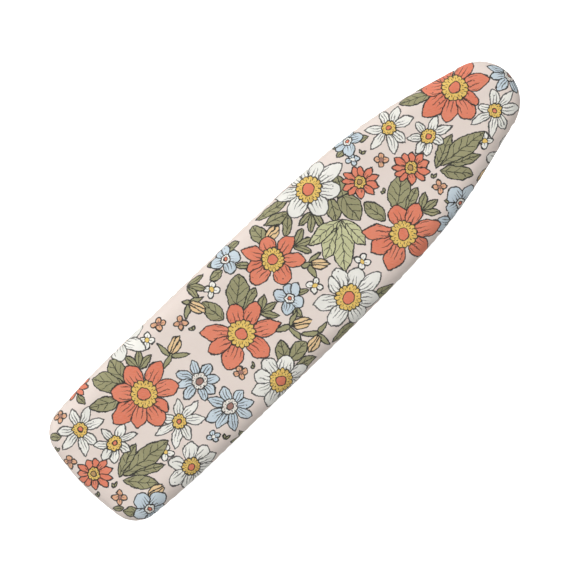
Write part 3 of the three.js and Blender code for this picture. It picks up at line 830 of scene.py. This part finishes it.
def draw_small_things(g):
    whites = [(16, -5.5), (56.5, 15.5), (-72, -9), (-127.5, -52), (161, 118.5), (-111, -148)]
    g.tiny_flowers(whites + round_the_side(SIDE_DROP, 0), -14, 7.4, 2.7, WHITE, YELLOW)
    blues = [(48.5, 102), (-70, -134)]
    g.tiny_flowers(blues + round_the_side(SIDE_DROP, 2), 16, 6.0, 2.2, BLUE, WHITE)
    oranges = [(72.5, 101.5), (122.5, 79), (-98.5, -37.5), (-118, -38), (-47.5, -79.5), (-151, -186.5)]
    oranges += [(-194, -157), (-202.5, -117)]
    g.tiny_flowers(oranges + round_the_side(SIDE_DROP, 4), 2, 6.4, 2.4, ORANGE, BROWN)
    sprouts = [(56.5, 109), (117.5, 88), (-88.5, -42), (-36.5, -73.5), (-60, -135), (-155.5, -175.5)]
    g.sprouts(sprouts + [(-171, -185.5), (74, 75), (-206, -146.5)])


def draw_leaves_and_buds(g):
    g.leaves(g.cloth, LOOSE_LEAVES)
    triads = [(14, 57), (-2, 29), (107, 58), (-31, -29), (-134, -77), (-94, -5)]
    turns = [263, 18, 36, 33, 91, -8]
    hanging = round_the_side(SIDE_DROP, 5)
    turns += [math.degrees(math.atan2(-x, y)) for x, y in hanging]
    g.leaves(g.nearest(triads + hanging, turns), TRIAD, veins=0.0)
    g.leaves(g.nearest(WIDE_PLACES), CORAL_LEAVES)
    g.leaves(g.nearest(FULL_PLACES), FULL_CORAL_LEAVES)
    g.leaves(g.nearest([(119, 95), (-151, -169)]), BIG_SPRAY)
    g.leaves(g.nearest([(38, 51)]), PALE_SPRAY, LIGHT_GREEN, LIGHT_GREEN_SHADE)
    g.small_shapes(g.cloth, STEMS, OLIVE)
    buds = [(-2, -39), (19.5, -49), (13, 12.5), (-91, -20.5), (-107, -63), (-25, 33), (-114, -176), (158, 82)]
    g.small_shapes(g.nearest(buds, [12, 236, 0, -32, 62, 52, 222, 40]), BUD, PEACH, 0.4)


def draw_white_flowers(g):
    strokes = {"rounding": 0.2, "spacing": 3.0, "reach": 1, "strength": 0.95}
    for petals, places, turns, radius, core in (
        (ANEMONE, [(10.5, 77), (45, -16), (-160, -45)], [0, 0, -62], 11.2, 5.0),
        (ROUND_ANEMONE, [(-12.5, -87)], None, 10.4, 4.6),
        (LITTLE_ANEMONE, [(-89, -160), (184, 100)], None, 7.8, 3.4),
    ):
        point = g.nearest(places, turns)
        g.petals(point, petals, radius * 0.6, WHITE, WHITE_SHADE, **strokes)
        g.eye(point, radius, core, 15)


def draw_daisies_and_lilies(g):
    daisies = [(98, 95), (54.5, 83), (-172.5, -166.5), (-194, -88)]
    point = g.nearest(daisies + round_the_side(LOWER_DROP, 1))
    g.petals(point, DAISY, 3.5, CORAL, CORAL_LIGHT, rounding=0.8, spacing=2.2, reach=-3)
    g.eye(point, 5.4, 2.3, 9, YELLOW, OCHRE)
    for petals, places in (
        (STAR_A, [(79, 129), (-184.5, -128.5)]),
        (STAR_B, [(112.5, 122), (-155, -140)] + round_the_side(LOWER_DROP, 3)),
        (STAR_C, [(170, 144), (-99.5, -121)]),
    ):
        point = g.nearest(places)
        g.petals(point, petals, 3.0, WHITE, WHITE_SHADE, spacing=2.4, reach=2, strength=0.95)
        g.eye(point, 6.3, 2.0, 9)


def draw_blue_flowers(g):
    for petals, places in (
        (BLUE_DAISY_A, [(-82.5, -86.5), (184.5, 176.5)]),
        (BLUE_DAISY_B, [(-56.5, -108.5)]),
    ):
        point = g.nearest(places)
        g.petals(point, petals, 4.5, BLUE, BLUE_DARK, rounding=1.2, spacing=2.3, reach=3)
        g.eye(point, 6.7, 2.9, 8, PALE_RING, BROWN, WHITE)
    for petals, places, turns, rounding in (
        (BIG_PANSY, [(-124.5, -197), (142.5, 64), (137, 45)], [0, 0, 40], 4.8),
        (PANSY, [(-5.5, -16.5), (-60.5, 17.5), (43, 119)], [0, 40, 120], 3.0),
    ):
        point = g.nearest(places, turns)
        g.petals(point, petals, 1.5, BLUE, BLUE_DARK, rounding=rounding, spacing=2.4, reach=0)
        g.eye(point, 4.4, 1.8, 5, WHITE, CORAL, WHITE)


def draw_coral_flowers(g):
    for petals, places, radius, core in (
        (WIDE_CORAL, WIDE_PLACES, 11.5, 4.9),
        (SMALL_CORAL, [(-20, 16.5)], 9.9, 4.6),
        (FULL_CORAL, FULL_PLACES, 11.4, 5.0),
    ):
        point = g.nearest(places)
        g.petals(point, petals, radius * 0.62, CORAL, CORAL_LIGHT, spacing=3.6, reach=0)
        g.eye(point, radius, core, 15)


# ================================================================ the board's outline
cover_low, cover_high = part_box("cover")
HALF_LENGTH = (cover_high.x - cover_low.x) / 2 / MM
HALF_WIDTH = (cover_high.y - cover_low.y) / 2 / MM
COVER_TOP = cover_high.z / MM
HEM_BOTTOM = cover_low.z / MM
NOSE_RADIUS = 34.5
NOSE_TURN = math.radians(75)  # how far round to each side the nose stays an arc
TAIL_POLE = -HALF_LENGTH + 60  # the two ends of the centre line that the sheets close in on
NOSE_POLE = HALF_LENGTH - 36


def bezier(points, steps=200):
    """Points along a Bezier curve of any degree, without its last point."""
    degree = len(points) - 1
    t = np.linspace(0, 1, steps, endpoint=False)[:, None]
    shares = [math.comb(degree, k) * (1 - t) ** (degree - k) * t**k for k in range(degree + 1)]
    return sum(share * np.array(point, float) for share, point in zip(shares, points))


def outline_stations(count):
    """Evenly spaced points round the outline, counter-clockwise from the middle of the tail, their outward
    normals, and how far along the outline they are."""
    nose = 2 * HALF_LENGTH - NOSE_RADIUS
    flank_end = (nose + NOSE_RADIUS * math.cos(NOSE_TURN), NOSE_RADIUS * math.sin(NOSE_TURN))
    angles = np.linspace(NOSE_TURN, 0, 200)
    # one half, by distance from the tail and distance out from the centre line
    tail = bezier([(0, 0), (0, 20.5), (4, 41)])
    corner = bezier([(4, 41), (5.9, 51), (15.5, 59.3), (25, 60.2)])
    shoulder = bezier([(25, 60.2), (60, HALF_WIDTH), (95, HALF_WIDTH)])
    middle = bezier([(95, HALF_WIDTH), (222, HALF_WIDTH)])
    flank = bezier([(222, HALF_WIDTH), (380, HALF_WIDTH), (402, 55.6), flank_end], 600)
    nose_arc = np.c_[nose + NOSE_RADIUS * np.cos(angles), NOSE_RADIUS * np.sin(angles)]
    half = np.vstack([tail, corner, shoulder, middle, flank, nose_arc])
    half[:, 0] -= HALF_LENGTH
    loop = np.vstack([half * (1, -1), half[-2:0:-1]])
    closed = np.vstack([loop, loop[:1]])
    lengths = np.r_[0, np.cumsum(np.hypot(*np.diff(closed, axis=0).T))]
    along = np.linspace(0, lengths[-1], count, endpoint=False)
    points = np.c_[np.interp(along, lengths, closed[:, 0]), np.interp(along, lengths, closed[:, 1])]
    ahead = np.roll(points, -1, axis=0) - np.roll(points, 1, axis=0)
    for _ in range(3):
        ahead = (np.roll(ahead, 1, axis=0) + 2 * ahead + np.roll(ahead, -1, axis=0)) / 4
    ahead /= np.hypot(*ahead.T)[:, None]
    return points, np.c_[ahead[:, 1], -ahead[:, 0]], along


def sheet_over_board(count, profile, middle_rings):
    """A grid of points over the board: rings of the outline at each (inset, height), then rings that close in
    on its centre line. Returns the points, and the cloth's flat place at each, both by ring and station."""
    outline, normals, _ = outline_stations(count)
    rings, flat = [], []
    top_inset, top = profile[-1]
    lengths = [math.hypot(b[0] - a[0], b[1] - a[1]) for a, b in zip(profile, profile[1:])]
    for k, (inset, height) in enumerate(profile):
        rings.append(np.c_[outline - normals * inset, np.full(count, height)])
        flat.append(outline + normals * (sum(lengths[k:]) - top_inset))
    edge = outline - normals * top_inset
    centre = np.c_[np.clip(edge[:, 0], TAIL_POLE, NOSE_POLE), np.zeros(count)]
    for k in range(1, middle_rings + 1):
        t = k / middle_rings
        here = edge * (1 - t) + centre * t
        rings.append(np.c_[here, np.full(count, top)])
        flat.append(here)
    return np.array(rings), np.array(flat)


def sheet_mesh(rings):
    """Points and faces of such a grid, with the points that meet on the centre line joined, and the number of
    the point at each ring and station."""
    index, points, where = {}, [], np.zeros(rings.shape[:2], int)
    last, count = rings.shape[0] - 1, rings.shape[1]
    for r in range(last + 1):
        for i in range(count):
            key = tuple(np.round(rings[r, i], 4)) if r == last else (r, i)
            if key not in index:
                index[key] = len(points)
                points.append(rings[r, i])
            where[r, i] = index[key]
    faces = []
    for r in range(last):
        for i in range(count):
            j = (i + 1) % count
            corners = [where[r, i], where[r, j], where[r + 1, j], where[r + 1, i]]
            face = [c for k, c in enumerate(corners) if c != corners[k - 1]]
            if len(face) > 2:
                faces.append(face)
    return np.array(points), faces, where


def rounded_edge(inset, run, top, drop, steps):
    """(inset, height) from the foot of the padded edge to the flat top."""
    angles = np.linspace(0, math.pi / 2, steps + 1)
    return [(inset + run * (1 - math.cos(a)), top - drop * (1 - math.sin(a))) for a in angles]


# ================================================================ cover
HEM_INSET = 18
HEM_CORNER = 2.6
HEM_PLEAT = 2.2
SIDE_PLEAT = 1.7
CASING_MIDDLE = 14.5
CASING_SWELL = 0.55
EDGE_RUN = 16
EDGE_DROP = 11
SIM_STATIONS = 236
SIM_MIDDLE = 9
SIM_FRAMES = 20
MOST_SWELL = 1.8


def cover_profile(fine):
    """The cover's section from the inner edge of its hem, out, up and over to the flat top."""
    hem_steps, corner_steps, side_steps, edge_steps = (14, 4, 4, 12) if fine else (4, 2, 2, 6)
    profile = [(HEM_INSET - k * (HEM_INSET - HEM_CORNER) / hem_steps, HEM_BOTTOM) for k in range(hem_steps)]
    for k in range(corner_steps + 1):
        a = math.pi / 2 * k / corner_steps
        profile.append((HEM_CORNER * (1 - math.sin(a)), HEM_BOTTOM + HEM_CORNER * (1 - math.cos(a))))
    low, foot = HEM_BOTTOM + HEM_CORNER, COVER_TOP - EDGE_DROP
    profile += [(0, low + (foot - low) * k / side_steps) for k in range(1, side_steps)]
    return profile + rounded_edge(0, EDGE_RUN, COVER_TOP, EDGE_DROP, edge_steps)


def swollen_sheet():
    """How far each point of the coarse cover moves when the padding swells under it, by cloth simulation."""
    rings, _ = sheet_over_board(SIM_STATIONS, cover_profile(False), SIM_MIDDLE)
    points, faces, where = sheet_mesh(rings)
    mesh = bpy.data.meshes.new("cloth_trial")
    mesh.from_pydata([tuple(p) for p in points * MM], [], faces)
    trial = bpy.data.objects.new("cloth_trial", mesh)
    bpy.context.scene.collection.objects.link(trial)
    held = trial.vertex_groups.new(name="held")
    for r in range(rings.shape[0]):
        freedom = np.clip((r - 5) / 4, 0, 1)  # the hem is held, and the side is freed ring by ring
        held.add([int(v) for v in set(where[r])], 1 - float(freedom), "REPLACE")
    settings = trial.modifiers.new("cloth", "CLOTH").settings
    settings.quality = 6
    settings.mass = 0.2
    settings.tension_stiffness = 12
    settings.compression_stiffness = 12
    settings.shear_stiffness = 5
    settings.bending_stiffness = 0.5
    settings.use_pressure = True
    settings.uniform_pressure_force = 4
    settings.vertex_group_mass = "held"
    settings.effector_weights.gravity = 0
    scene = bpy.context.scene
    for number in range(1, SIM_FRAMES + 1):
        scene.frame_set(number)
    solved = trial.evaluated_get(bpy.context.evaluated_depsgraph_get()).data
    moved = np.zeros(len(points) * 3)
    solved.vertices.foreach_get("co", moved)
    moved = moved.reshape(-1, 3) / MM - points
    bpy.data.objects.remove(trial)
    scene.frame_set(1)
    length = np.linalg.norm(moved, axis=1)
    moved *= min(1.0, MOST_SWELL / max(length.max(), 1e-9))
    return moved[where]


def resampled(grid, rows, columns):
    """A grid of vectors stretched to more rings and stations; stations run round a loop."""
    r = np.linspace(0, grid.shape[0] - 1, rows)
    c = np.linspace(0, grid.shape[1], columns, endpoint=False)
    r0 = np.minimum(r.astype(int), grid.shape[0] - 2)
    c0 = c.astype(int)
    c1 = (c0 + 1) % grid.shape[1]
    fr, fc = (r - r0)[:, None, None], (c - c0)[None, :, None]
    low = grid[r0][:, c0] * (1 - fc) + grid[r0][:, c1] * fc
    high = grid[r0 + 1][:, c0] * (1 - fc) + grid[r0 + 1][:, c1] * fc
    return low * (1 - fr) + high * fr


def gathers(along, bend):
    """Pleats that the elastic draws up, from 0 to 1: closer and deeper where the outline bends."""
    # (length of a wave, shift, height)
    waves = [(9.3, 1.3 * np.sin(along / 31), 1.0), (14.1, 2.0, 0.6), (6.1, 0.7 * np.sin(along / 17), 0.4)]
    wave = sum(height * np.sin(2 * math.pi * along / length + shift) for length, shift, height in waves)
    return (0.5 + 0.25 * wave) * (0.5 + 0.5 * bend)


def make_cover(material, thread):
    count = SIM_STATIONS * 2
    profile = cover_profile(True)
    rings, flat = sheet_over_board(count, profile, SIM_MIDDLE * 2)
    rings = rings + resampled(swollen_sheet(), rings.shape[0], count)
    _, normals, along = outline_stations(count)
    turning = np.abs(np.cross(normals, np.roll(normals, -1, axis=0)))
    for _ in range(12):
        turning = (np.roll(turning, 1) + turning + np.roll(turning, -1)) / 3
    bend = np.clip(turning / turning.max() * 1.6, 0, 1)
    pleat = gathers(along, bend)
    out = np.c_[normals, np.zeros(count)]
    for r, (inset, height) in enumerate(profile):
        if inset > HEM_CORNER and height <= HEM_BOTTOM + 0.01:
            depth = (inset / HEM_INSET) ** 0.7
            casing = CASING_SWELL * math.exp(-(((inset - CASING_MIDDLE) / 2.2) ** 4))
            rings[r, :, 2] -= HEM_PLEAT * depth * pleat + casing
        else:
            climb = (height - HEM_BOTTOM) / (COVER_TOP - HEM_BOTTOM)
            rings[r] += out * (SIDE_PLEAT * max(0, 1 - climb * 1.25) ** 1.5 * pleat)[:, None]
    points, faces, where = sheet_mesh(rings)
    cover = new_piece("printed_cover", points, faces, material, "board", ["cover"])
    cloth = np.zeros((len(points), 3))
    cloth[where.ravel(), 0], cloth[where.ravel(), 1] = on_board(flat[..., 0].ravel(), flat[..., 1].ravel())
    store_cloth(cover, cloth)
    thickness = cover.modifiers.new("thickness", "SOLIDIFY")
    thickness.thickness = 0.9 * MM
    thickness.offset = -1
    stitch_hem(rings, thread)


def store_cloth(piece, places):
    """Stores each point's place on the flat cloth, for the print and the weave."""
    layer = piece.data.attributes.new("cloth_mm", "FLOAT_VECTOR", "POINT")
    layer.data.foreach_set("vector", places.astype(np.float32).ravel())


def stitch_hem(rings, material):
    """Two rows of thread on the underside of the hem: one straight, and one zigzag over the elastic."""
    # each row runs to and fro between two places, counted in rings from the inner edge of the hem
    rows = {"hem_stitching": (0.8, 0.8), "elastic_zigzag": (5.8, 7.6)}
    for name, row in rows.items():
        points = []
        for i in range(rings.shape[1]):
            r, share = int(row[i % 2]), row[i % 2] % 1
            here = rings[r, i] * (1 - share) + rings[r + 1, i] * share
            points.append(Vector(here) - Z_AXIS * 0.12)
        closed_thread(name, points, 0.26, material)


def closed_thread(name, path, radius, material, sides=6):
    """A thin closed loop of thread."""
    points = []
    count = len(path)
    for i, place in enumerate(path):
        ahead = (path[(i + 1) % count] - path[i - 1]).normalized()
        side = ahead.cross(Z_AXIS).normalized()
        points += circle(place, side, side.cross(ahead), radius, sides)
    new_piece(name, points, ring_faces(count, sides, True), material, "board")


# ================================================================ pad and elastic
def make_pad(material):
    low, high = box("foam_pad")
    inset, run, lip = 1.9, 15, 0.4
    count, steps = 160, 6
    foot = (inset + 4, low.z)
    edge = rounded_edge(inset, run, high.z, high.z - low.z - lip, steps)
    over, _ = sheet_over_board(count, [foot, (inset + lip, low.z)] + edge, steps)
    under, _ = sheet_over_board(count, [foot], steps)
    over_points, over_faces, _ = sheet_mesh(over)
    under_points, under_faces, _ = sheet_mesh(under)
    shift = len(over_points)
    faces = over_faces + [[v + shift for v in reversed(f)] for f in under_faces]
    points = np.vstack([over_points, under_points])
    weld(new_piece("felt_pad", points, faces, material, "board", ["foam_pad"]), 0.01)


def make_hem_elastic(material):
    low, high = box("hem_elastic")
    outer, inner = 12, 17  # how far in from the outline the band's edges are
    count = 420
    outline, normals, along = outline_stations(count)
    ripple = 0.12 * np.sin(2 * math.pi * along / 2.3)
    section = [(outer, low.z), (outer, high.z), (inner, high.z), (inner, low.z)]
    points, flat = [], []
    around = 0.0
    for (inset, height), following in zip(section, section[1:] + section[:1]):
        points.append(np.c_[outline - normals * inset, height + ripple])
        flat.append(np.c_[along, np.full(count, around), np.zeros(count)])
        around += math.dist((inset, height), following)
    faces = ring_faces(len(section), count, True)
    band = new_piece("ribbed_elastic", np.vstack(points), faces, material, "board", ["hem_elastic"])
    store_cloth(band, np.vstack(flat))
    soften(band, 0.25)


# ================================================================ rods, knob, feet and fittings
ROD = 4
BASE_ROD = 6
CROSSBAR = 4
BASE_Z = 10
ARM_Y = 35
EAR_Y = 44
EAR_HALF = 1.5
REAR_PIVOT = pivot_of("rear_leg_fold")
FRONT_PIVOT = pivot_of("front_leg_fold")
LEG = pivot_of("board_level") - REAR_PIVOT


def make_leg(name, pivot, material):
    """A bent rod: a stub in each ear, two arms, and the bar that the board's straps hold."""
    low, high = box(name)
    arm = Y_AXIS * ARM_Y
    lower = [pivot + Y_AXIS * low.y, pivot - arm]
    upper = [pivot + LEG - arm, pivot + LEG + arm]
    corners = lower + upper + [pivot + arm, pivot + Y_AXIS * high.y]
    stub_bend, bar_bend = 6, 10
    path = bent_path(corners, [stub_bend, bar_bend, bar_bend, stub_bend])
    tube(name + "_rod", path, ROD, material, name, [name])


def make_base(material):
    """The loop of rod that stands on the feet, and its two crossbars."""
    low, high = box("base_loop")
    tail, nose = low.x + BASE_ROD, high.x - BASE_ROD
    gap = 0.3
    corners = [(tail, -gap), (tail, -EAR_Y), (nose, -EAR_Y), (nose, EAR_Y), (tail, EAR_Y), (tail, gap)]
    tail_bend, nose_bend = 34, EAR_Y - 0.5
    bends = [tail_bend, nose_bend, nose_bend, tail_bend]
    path = bent_path([(x, y, BASE_Z) for x, y in corners], bends, 20)
    tube("base_rod", path, BASE_ROD, material, "base", ["base_loop"], sides=36)
    for name in ("rear_crossbar", "front_crossbar"):
        centre, half = middle(name)
        right, left = [Vector((centre.x, centre.y + y, BASE_Z)) for y in (-half.y, half.y)]
        tube(name + "_rod", [(right, Y_AXIS), (left, Y_AXIS)], CROSSBAR, material, "base", [name])
        for side, end in (("right", right), ("left", left)):
            weld_bead(f"{name}_weld_{side}", end, Y_AXIS, CROSSBAR + 0.3, 1.3, material)


def weld_bead(name, centre, axis, radius, thickness, material, sides=36):
    """A rippled ring of weld metal round the foot of a bar."""
    side = axis.orthogonal().normalized()
    across = axis.cross(side)
    points = []
    for i in range(sides):
        a = 2 * math.pi * i / sides
        out = side * math.cos(a) + across * math.sin(a)
        size = thickness * (1 + 0.16 * math.sin(5 * a) + 0.22 * (i % 2))
        points += circle(centre + out * radius, out, axis, size, 8)
    new_piece(name, points, ring_faces(sides, 8, True), material, "base")


def make_sleeve(material):
    """The sleeve over the joint in the base rod, crimped in two places."""
    centre, half = middle("base_joint_sleeve")
    radius, end = half.z, half.y
    bore, waist = BASE_ROD + 0.3, radius - 0.5
    profile = [(bore, -end), (waist, -end), (radius, 0.5 - end)]
    for y in (-0.55 * end, 0.55 * end):
        profile += [(radius, y - 1.3), (waist, y - 0.5), (waist, y + 0.5), (radius, y + 1.3)]
    profile += [(radius, end - 0.5), (waist, end), (bore, end)]
    place = (centre.x, 0, BASE_Z)
    lathe("joint_sleeve", profile[::-1], place, Y_AXIS, material, "base", ["base_joint_sleeve"])


def make_ear(end, side, pivot, material):
    """A lug plate that stands on the base rod, with the bent tab that the leg leans on."""
    sign = 1 if side == "left" else -1
    name = f"{end}_pivot_ear_{side}"
    origin = Vector((pivot.x, sign * EAR_Y, pivot.z))
    foot = BASE_Z + BASE_ROD + 0.1 - pivot.z
    crown, horn = 8.5, 15
    outline = [(-14, foot), (14, foot), (10.6, horn), (7.2, horn)]
    for k in range(17):
        a = math.radians(55 + 110 * k / 16)
        outline.append((crown * math.cos(a), crown * math.sin(a)))
    upright = (X_AXIS, Z_AXIS, -Y_AXIS)
    plate = prism(name + "_plate", outline, -EAR_HALF, EAR_HALF, material, "base", upright, origin, [name])
    soften(plate, 0.5)
    tab = [(7.2, 7.9), (10.2, 7.9), (10.2, 14.9), (7.2, 14.9)]
    inward = (X_AXIS, Z_AXIS, -Y_AXIS * sign)
    stop = prism(name + "_stop", tab[::sign], 0.2, 11, material, "base", inward, origin)
    soften(stop, 0.9, 3)
    for face, offset in (("in", -EAR_HALF), ("out", EAR_HALF)):
        ear_weld(f"{name}_weld_{face}", origin + Vector((0, offset, foot - 0.5)), material)


def ear_weld(name, middle, material):
    """A fillet of weld along one face of an ear's foot."""
    length, bead, ripple = 26, 1.25, 0.22
    stations, sides = 30, 8
    points = []
    for i in range(stations):
        t = i / (stations - 1)
        size = (bead + ripple * (i % 2)) * min(1, 5 * t + 0.25, 5 * (1 - t) + 0.25)
        points += circle(middle + X_AXIS * (t - 0.5) * length, Y_AXIS, Z_AXIS * 0.8, size, sides)
    new_piece(name, points, capped_faces(stations, sides), material, "base")


def make_foot(end, side, material):
    """A rubber sleeve that grips the base rod, with a flat tread cut by two grooves."""
    name = f"{end}_foot_{side}"
    centre, half = middle(name)
    start, length, grip = centre.x - half.x, half.x * 2, half.y
    bore = BASE_ROD + 0.1
    arch = [math.pi * k / 32 for k in range(33)]
    tread = [(grip, -2), (8.4, 0.8 - BASE_Z), (7.6, -BASE_Z), (4, -BASE_Z)]
    section = [(math.cos(a) * grip, math.sin(a) * grip) for a in arch]
    section += [(-across, up) for across, up in tread] + tread[::-1]
    # (place along the foot, scale of the section)
    stations = [(0, 0.89), (0.5, 0.97), (1.2, 1.0)]
    for groove in (0.36 * length, 0.64 * length):
        stations += [(groove - 1.0, 1.0), (groove - 0.6, 0.93), (groove + 0.6, 0.93), (groove + 1.0, 1.0)]
    stations += [(length - 1.2, 1.0), (length - 0.5, 0.97), (length, 0.89)]
    points, count = [], len(section)
    for x, scale in stations:
        for across, up in section:
            points.append((start + x, centre.y + across * scale, BASE_Z + max(up * scale, -BASE_Z)))
    for x in (start + length, start):
        for across, up in section:
            a = math.atan2(up, across)
            points.append((x, centre.y + math.cos(a) * bore, BASE_Z + math.sin(a) * bore))
    faces = ring_faces(len(stations), count)
    last = (len(stations) - 1) * count
    far, near = last + count, last + 2 * count
    for i in range(count):
        j = (i + 1) % count
        faces.append((last + i, last + j, far + j, far + i))
        faces.append((j, i, near + i, near + j))
        faces.append((near + j, near + i, far + i, far + j))
    keep_crisp(new_piece(name + "_rubber", points, faces, material, "base", [name]), 40)


def make_cap(name, body, pivot, sign, material):
    """A nylon push-on cap with a rolled collar and a domed end."""
    low, high = box(name)
    mouth = min(abs(low.y), abs(high.y))
    tip = max(abs(low.y), abs(high.y)) - mouth
    bore, collar, neck, dome = ROD + 0.2, 6.6, 5.6, 2.2
    profile = [(0, 5), (bore, 5), (bore, 0)]
    profile += [(collar - 0.5, 0), (collar, 0.5), (collar, 1.7), (collar - 0.5, 2.3), (neck, 2.6)]
    for k in range(6):
        a = math.pi / 2 * k / 6
        profile.append((neck * math.cos(a), tip - dome + dome * math.sin(a)))
    profile.append((0, tip))
    centre = (pivot.x, sign * mouth, pivot.z)
    lathe(name + "_nylon", profile[::-1], centre, Y_AXIS * sign, material, body, [name])


def make_washer(name, body, pivot, material):
    centre, half = middle(name)
    radius, end = half.x, half.y
    bore, edge = ROD + 0.3, 0.2
    profile = [(bore, -end), (bore, end), (radius - edge, end), (radius, end - edge)]
    profile += [(radius, edge - end), (radius - edge, -end)]
    place = (pivot.x, centre.y, pivot.z)
    lathe(name + "_ring", profile, place, Y_AXIS, material, body, [name])


def make_knob(material):
    """The six-lobed clamp knob: a hub, a domed grip with soft lobes, and a recessed face."""
    low, high = box("lock_knob")
    inner, outer = abs(high.y), abs(low.y)
    head = inner + 4.2
    sides = 120
    # (distance out from the board's centre line, radius, depth of the lobes)
    hub = [(inner, 0, 0), (inner, 7.0, 0), (head - 0.6, 7.0, 0), (head - 0.2, 8.2, 0.3), (head, 9.6, 0.9)]
    grip = [(head + 0.6, 10.4, 1.2), (head + 1.8, 10.8, 1.2), (outer - 2.4, 10.8, 1.2)]
    grip += [(outer - 1.2, 10.5, 1.15), (outer - 0.4, 9.8, 1.0), (outer, 8.4, 0.8), (outer, 6.8, 0)]
    recess = [(outer - 0.5, 6.2, 0), (outer - 0.8, 5.4, 0), (outer - 0.8, 2.6, 0), (outer - 0.4, 1.6, 0)]
    recess += [(outer - 0.3, 0, 0)]
    stations = hub + grip + recess
    points = []
    for out, radius, lobe in stations:
        for i in range(sides):
            a = 2 * math.pi * i / sides
            r = max(radius + lobe * math.cos(6 * a), 1e-4)
            points.append((REAR_PIVOT.x + r * math.cos(a), -out, REAR_PIVOT.z + r * math.sin(a)))
    weld(new_piece("clamp_knob", points, ring_faces(len(stations), sides), material, "knob", ["lock_knob"]))


def make_rivet(name, material):
    """A domed rivet head below the board, with its shank set flush in the deck."""
    centre, half = middle(name)
    radius, end = half.x, half.z
    shank, dome = 2, 1.2
    seat = dome - end
    profile = [(0, end), (shank, end), (shank, seat), (radius - 0.1, seat)]
    for k in range(1, 8):
        a = math.pi / 2 * k / 8
        profile.append((radius * math.cos(a), seat - dome * math.sin(a)))
    profile.append((0, -end))
    keep_crisp(lathe(name + "_dome", profile[::-1], centre, Z_AXIS, material, "board", [name], sides=28), 50)


# ================================================================ build the object
cotton = make_printed_cotton()
powder = make_powder_coat()
galvanised = make_galvanised()
zinc = make_zinc()
rubber = make_rubber()
nylon = make_nylon()
thread = make_thread()

make_cover(cotton, thread)
make_pad(make_felt())
make_hem_elastic(make_elastic())
make_leg("rear_leg", REAR_PIVOT, powder)
make_leg("front_leg", FRONT_PIVOT, powder)
make_base(powder)
make_sleeve(powder)
for end, pivot in (("rear", REAR_PIVOT), ("front", FRONT_PIVOT)):
    for side in ("left", "right"):
        make_ear(end, side, pivot, powder)
        make_foot(end, side, rubber)
        make_washer(f"{end}_pivot_washer_{side}", f"{end}_leg", pivot, nylon)
make_washer("clamp_washer", "base", REAR_PIVOT, zinc)
make_cap("rear_stub_cap", "rear_leg", REAR_PIVOT, 1, nylon)
make_cap("front_stub_cap_left", "front_leg", FRONT_PIVOT, 1, nylon)
make_cap("front_stub_cap_right", "front_leg", FRONT_PIVOT, -1, nylon)
make_knob(make_knob_plastic())
for node in sorted(frame["nodes"]):
    if "rivet" in node:
        make_rivet(node, zinc)

plates = {"deck_pan": galvanised, "nose_stiffener": galvanised}
for end in ("rear", "front"):
    plates |= {f"{end}_{part}": zinc for part in ("hinge_plate", "strap_left", "strap_right")}
for node, material in plates.items():
    plain = frame["nodes"][node]
    plain.data.materials.clear()
    plain.data.materials.append(material)
    soften(plain, 0.3)


# ================================================================ floor, light and camera
SKY_LIGHT = 0.15


def make_floor():
    """A pale floor that glows a little to the camera, so that it reads as white."""
    ink = Paint("pale_floor")
    colour = ink.mix(ink.noise(ink.place(), 3, 2), rgb(226, 226, 225), rgb(223, 223, 222))
    ink.finish(Base_Color=colour, Roughness=0.9, Specular_IOR_Level=0.1)
    ink.finish(Emission_Color=(1.0, 1.0, 1.0), Emission_Strength=ink.node("LightPath", "Is Camera Ray") * 0.8)
    reach = 30000 * MM
    corners = [(-reach, -reach, 0), (reach, -reach, 0), (reach, reach, 0), (-reach, reach, 0)]
    mesh = bpy.data.meshes.new("floor")
    mesh.from_pydata(corners, [], [(0, 1, 2, 3)])
    mesh.materials.append(ink.material)
    floor = bpy.data.objects.new("floor", mesh)
    bpy.context.scene.collection.objects.link(floor)


def make_light(name, direction, softness, strength):
    """A very broad far lamp, like a softbox, whose light comes from the given direction."""
    data = bpy.data.lights.new(name, "SUN")
    data.angle = math.radians(softness)
    data.energy = strength
    lamp = bpy.data.objects.new(name, data)
    lamp.rotation_mode = "QUATERNION"
    lamp.rotation_quaternion = Vector(direction).to_track_quat("Z", "Y")
    bpy.context.scene.collection.objects.link(lamp)


def make_sky():
    """Even soft light from all round; the camera sees it as a white backdrop."""
    world = bpy.data.worlds.new("studio")
    world.use_nodes = True
    ink = Ink(world.node_tree)
    backdrop = ink.nodes["Background"]
    ink.set(backdrop.inputs["Color"], (1.0, 1.0, 1.0))
    ink.set(backdrop.inputs["Strength"], ink.most(ink.node("LightPath", "Is Camera Ray"), SKY_LIGHT))
    bpy.context.scene.world = world


def make_camera():
    """A long lens straight above, with the board lying from lower left to upper right."""
    right = Vector((math.cos(CLOTH_ANGLE), -math.sin(CLOTH_ANGLE), 0))
    up = Vector((math.sin(CLOTH_ANGLE), math.cos(CLOTH_ANGLE), 0))
    data = bpy.data.cameras.new("camera")
    data.lens = 135
    data.sensor_width = 36
    data.clip_end = 20000 * MM
    view_width = 489
    centre = right * -8.2 + up * -6.2  # the board isn't quite in the middle of the photo
    height = COVER_TOP + view_width / data.sensor_width * data.lens
    camera = bpy.data.objects.new("camera", data)
    camera.location = (centre + Z_AXIS * height) * MM
    camera.rotation_euler = (0, 0, -CLOTH_ANGLE)
    bpy.context.scene.collection.objects.link(camera)
    bpy.context.scene.camera = camera


make_floor()
make_light("key", (-0.1, 1.0, 0.8), 40, 2.1)
make_light("fill", (0.4, -1.0, 1.0), 60, 0.2)
make_light("overhead", (0, 0, 1), 60, 1.3)
make_sky()
make_camera()
bpy.context.scene.view_settings.view_transform = "Standard"
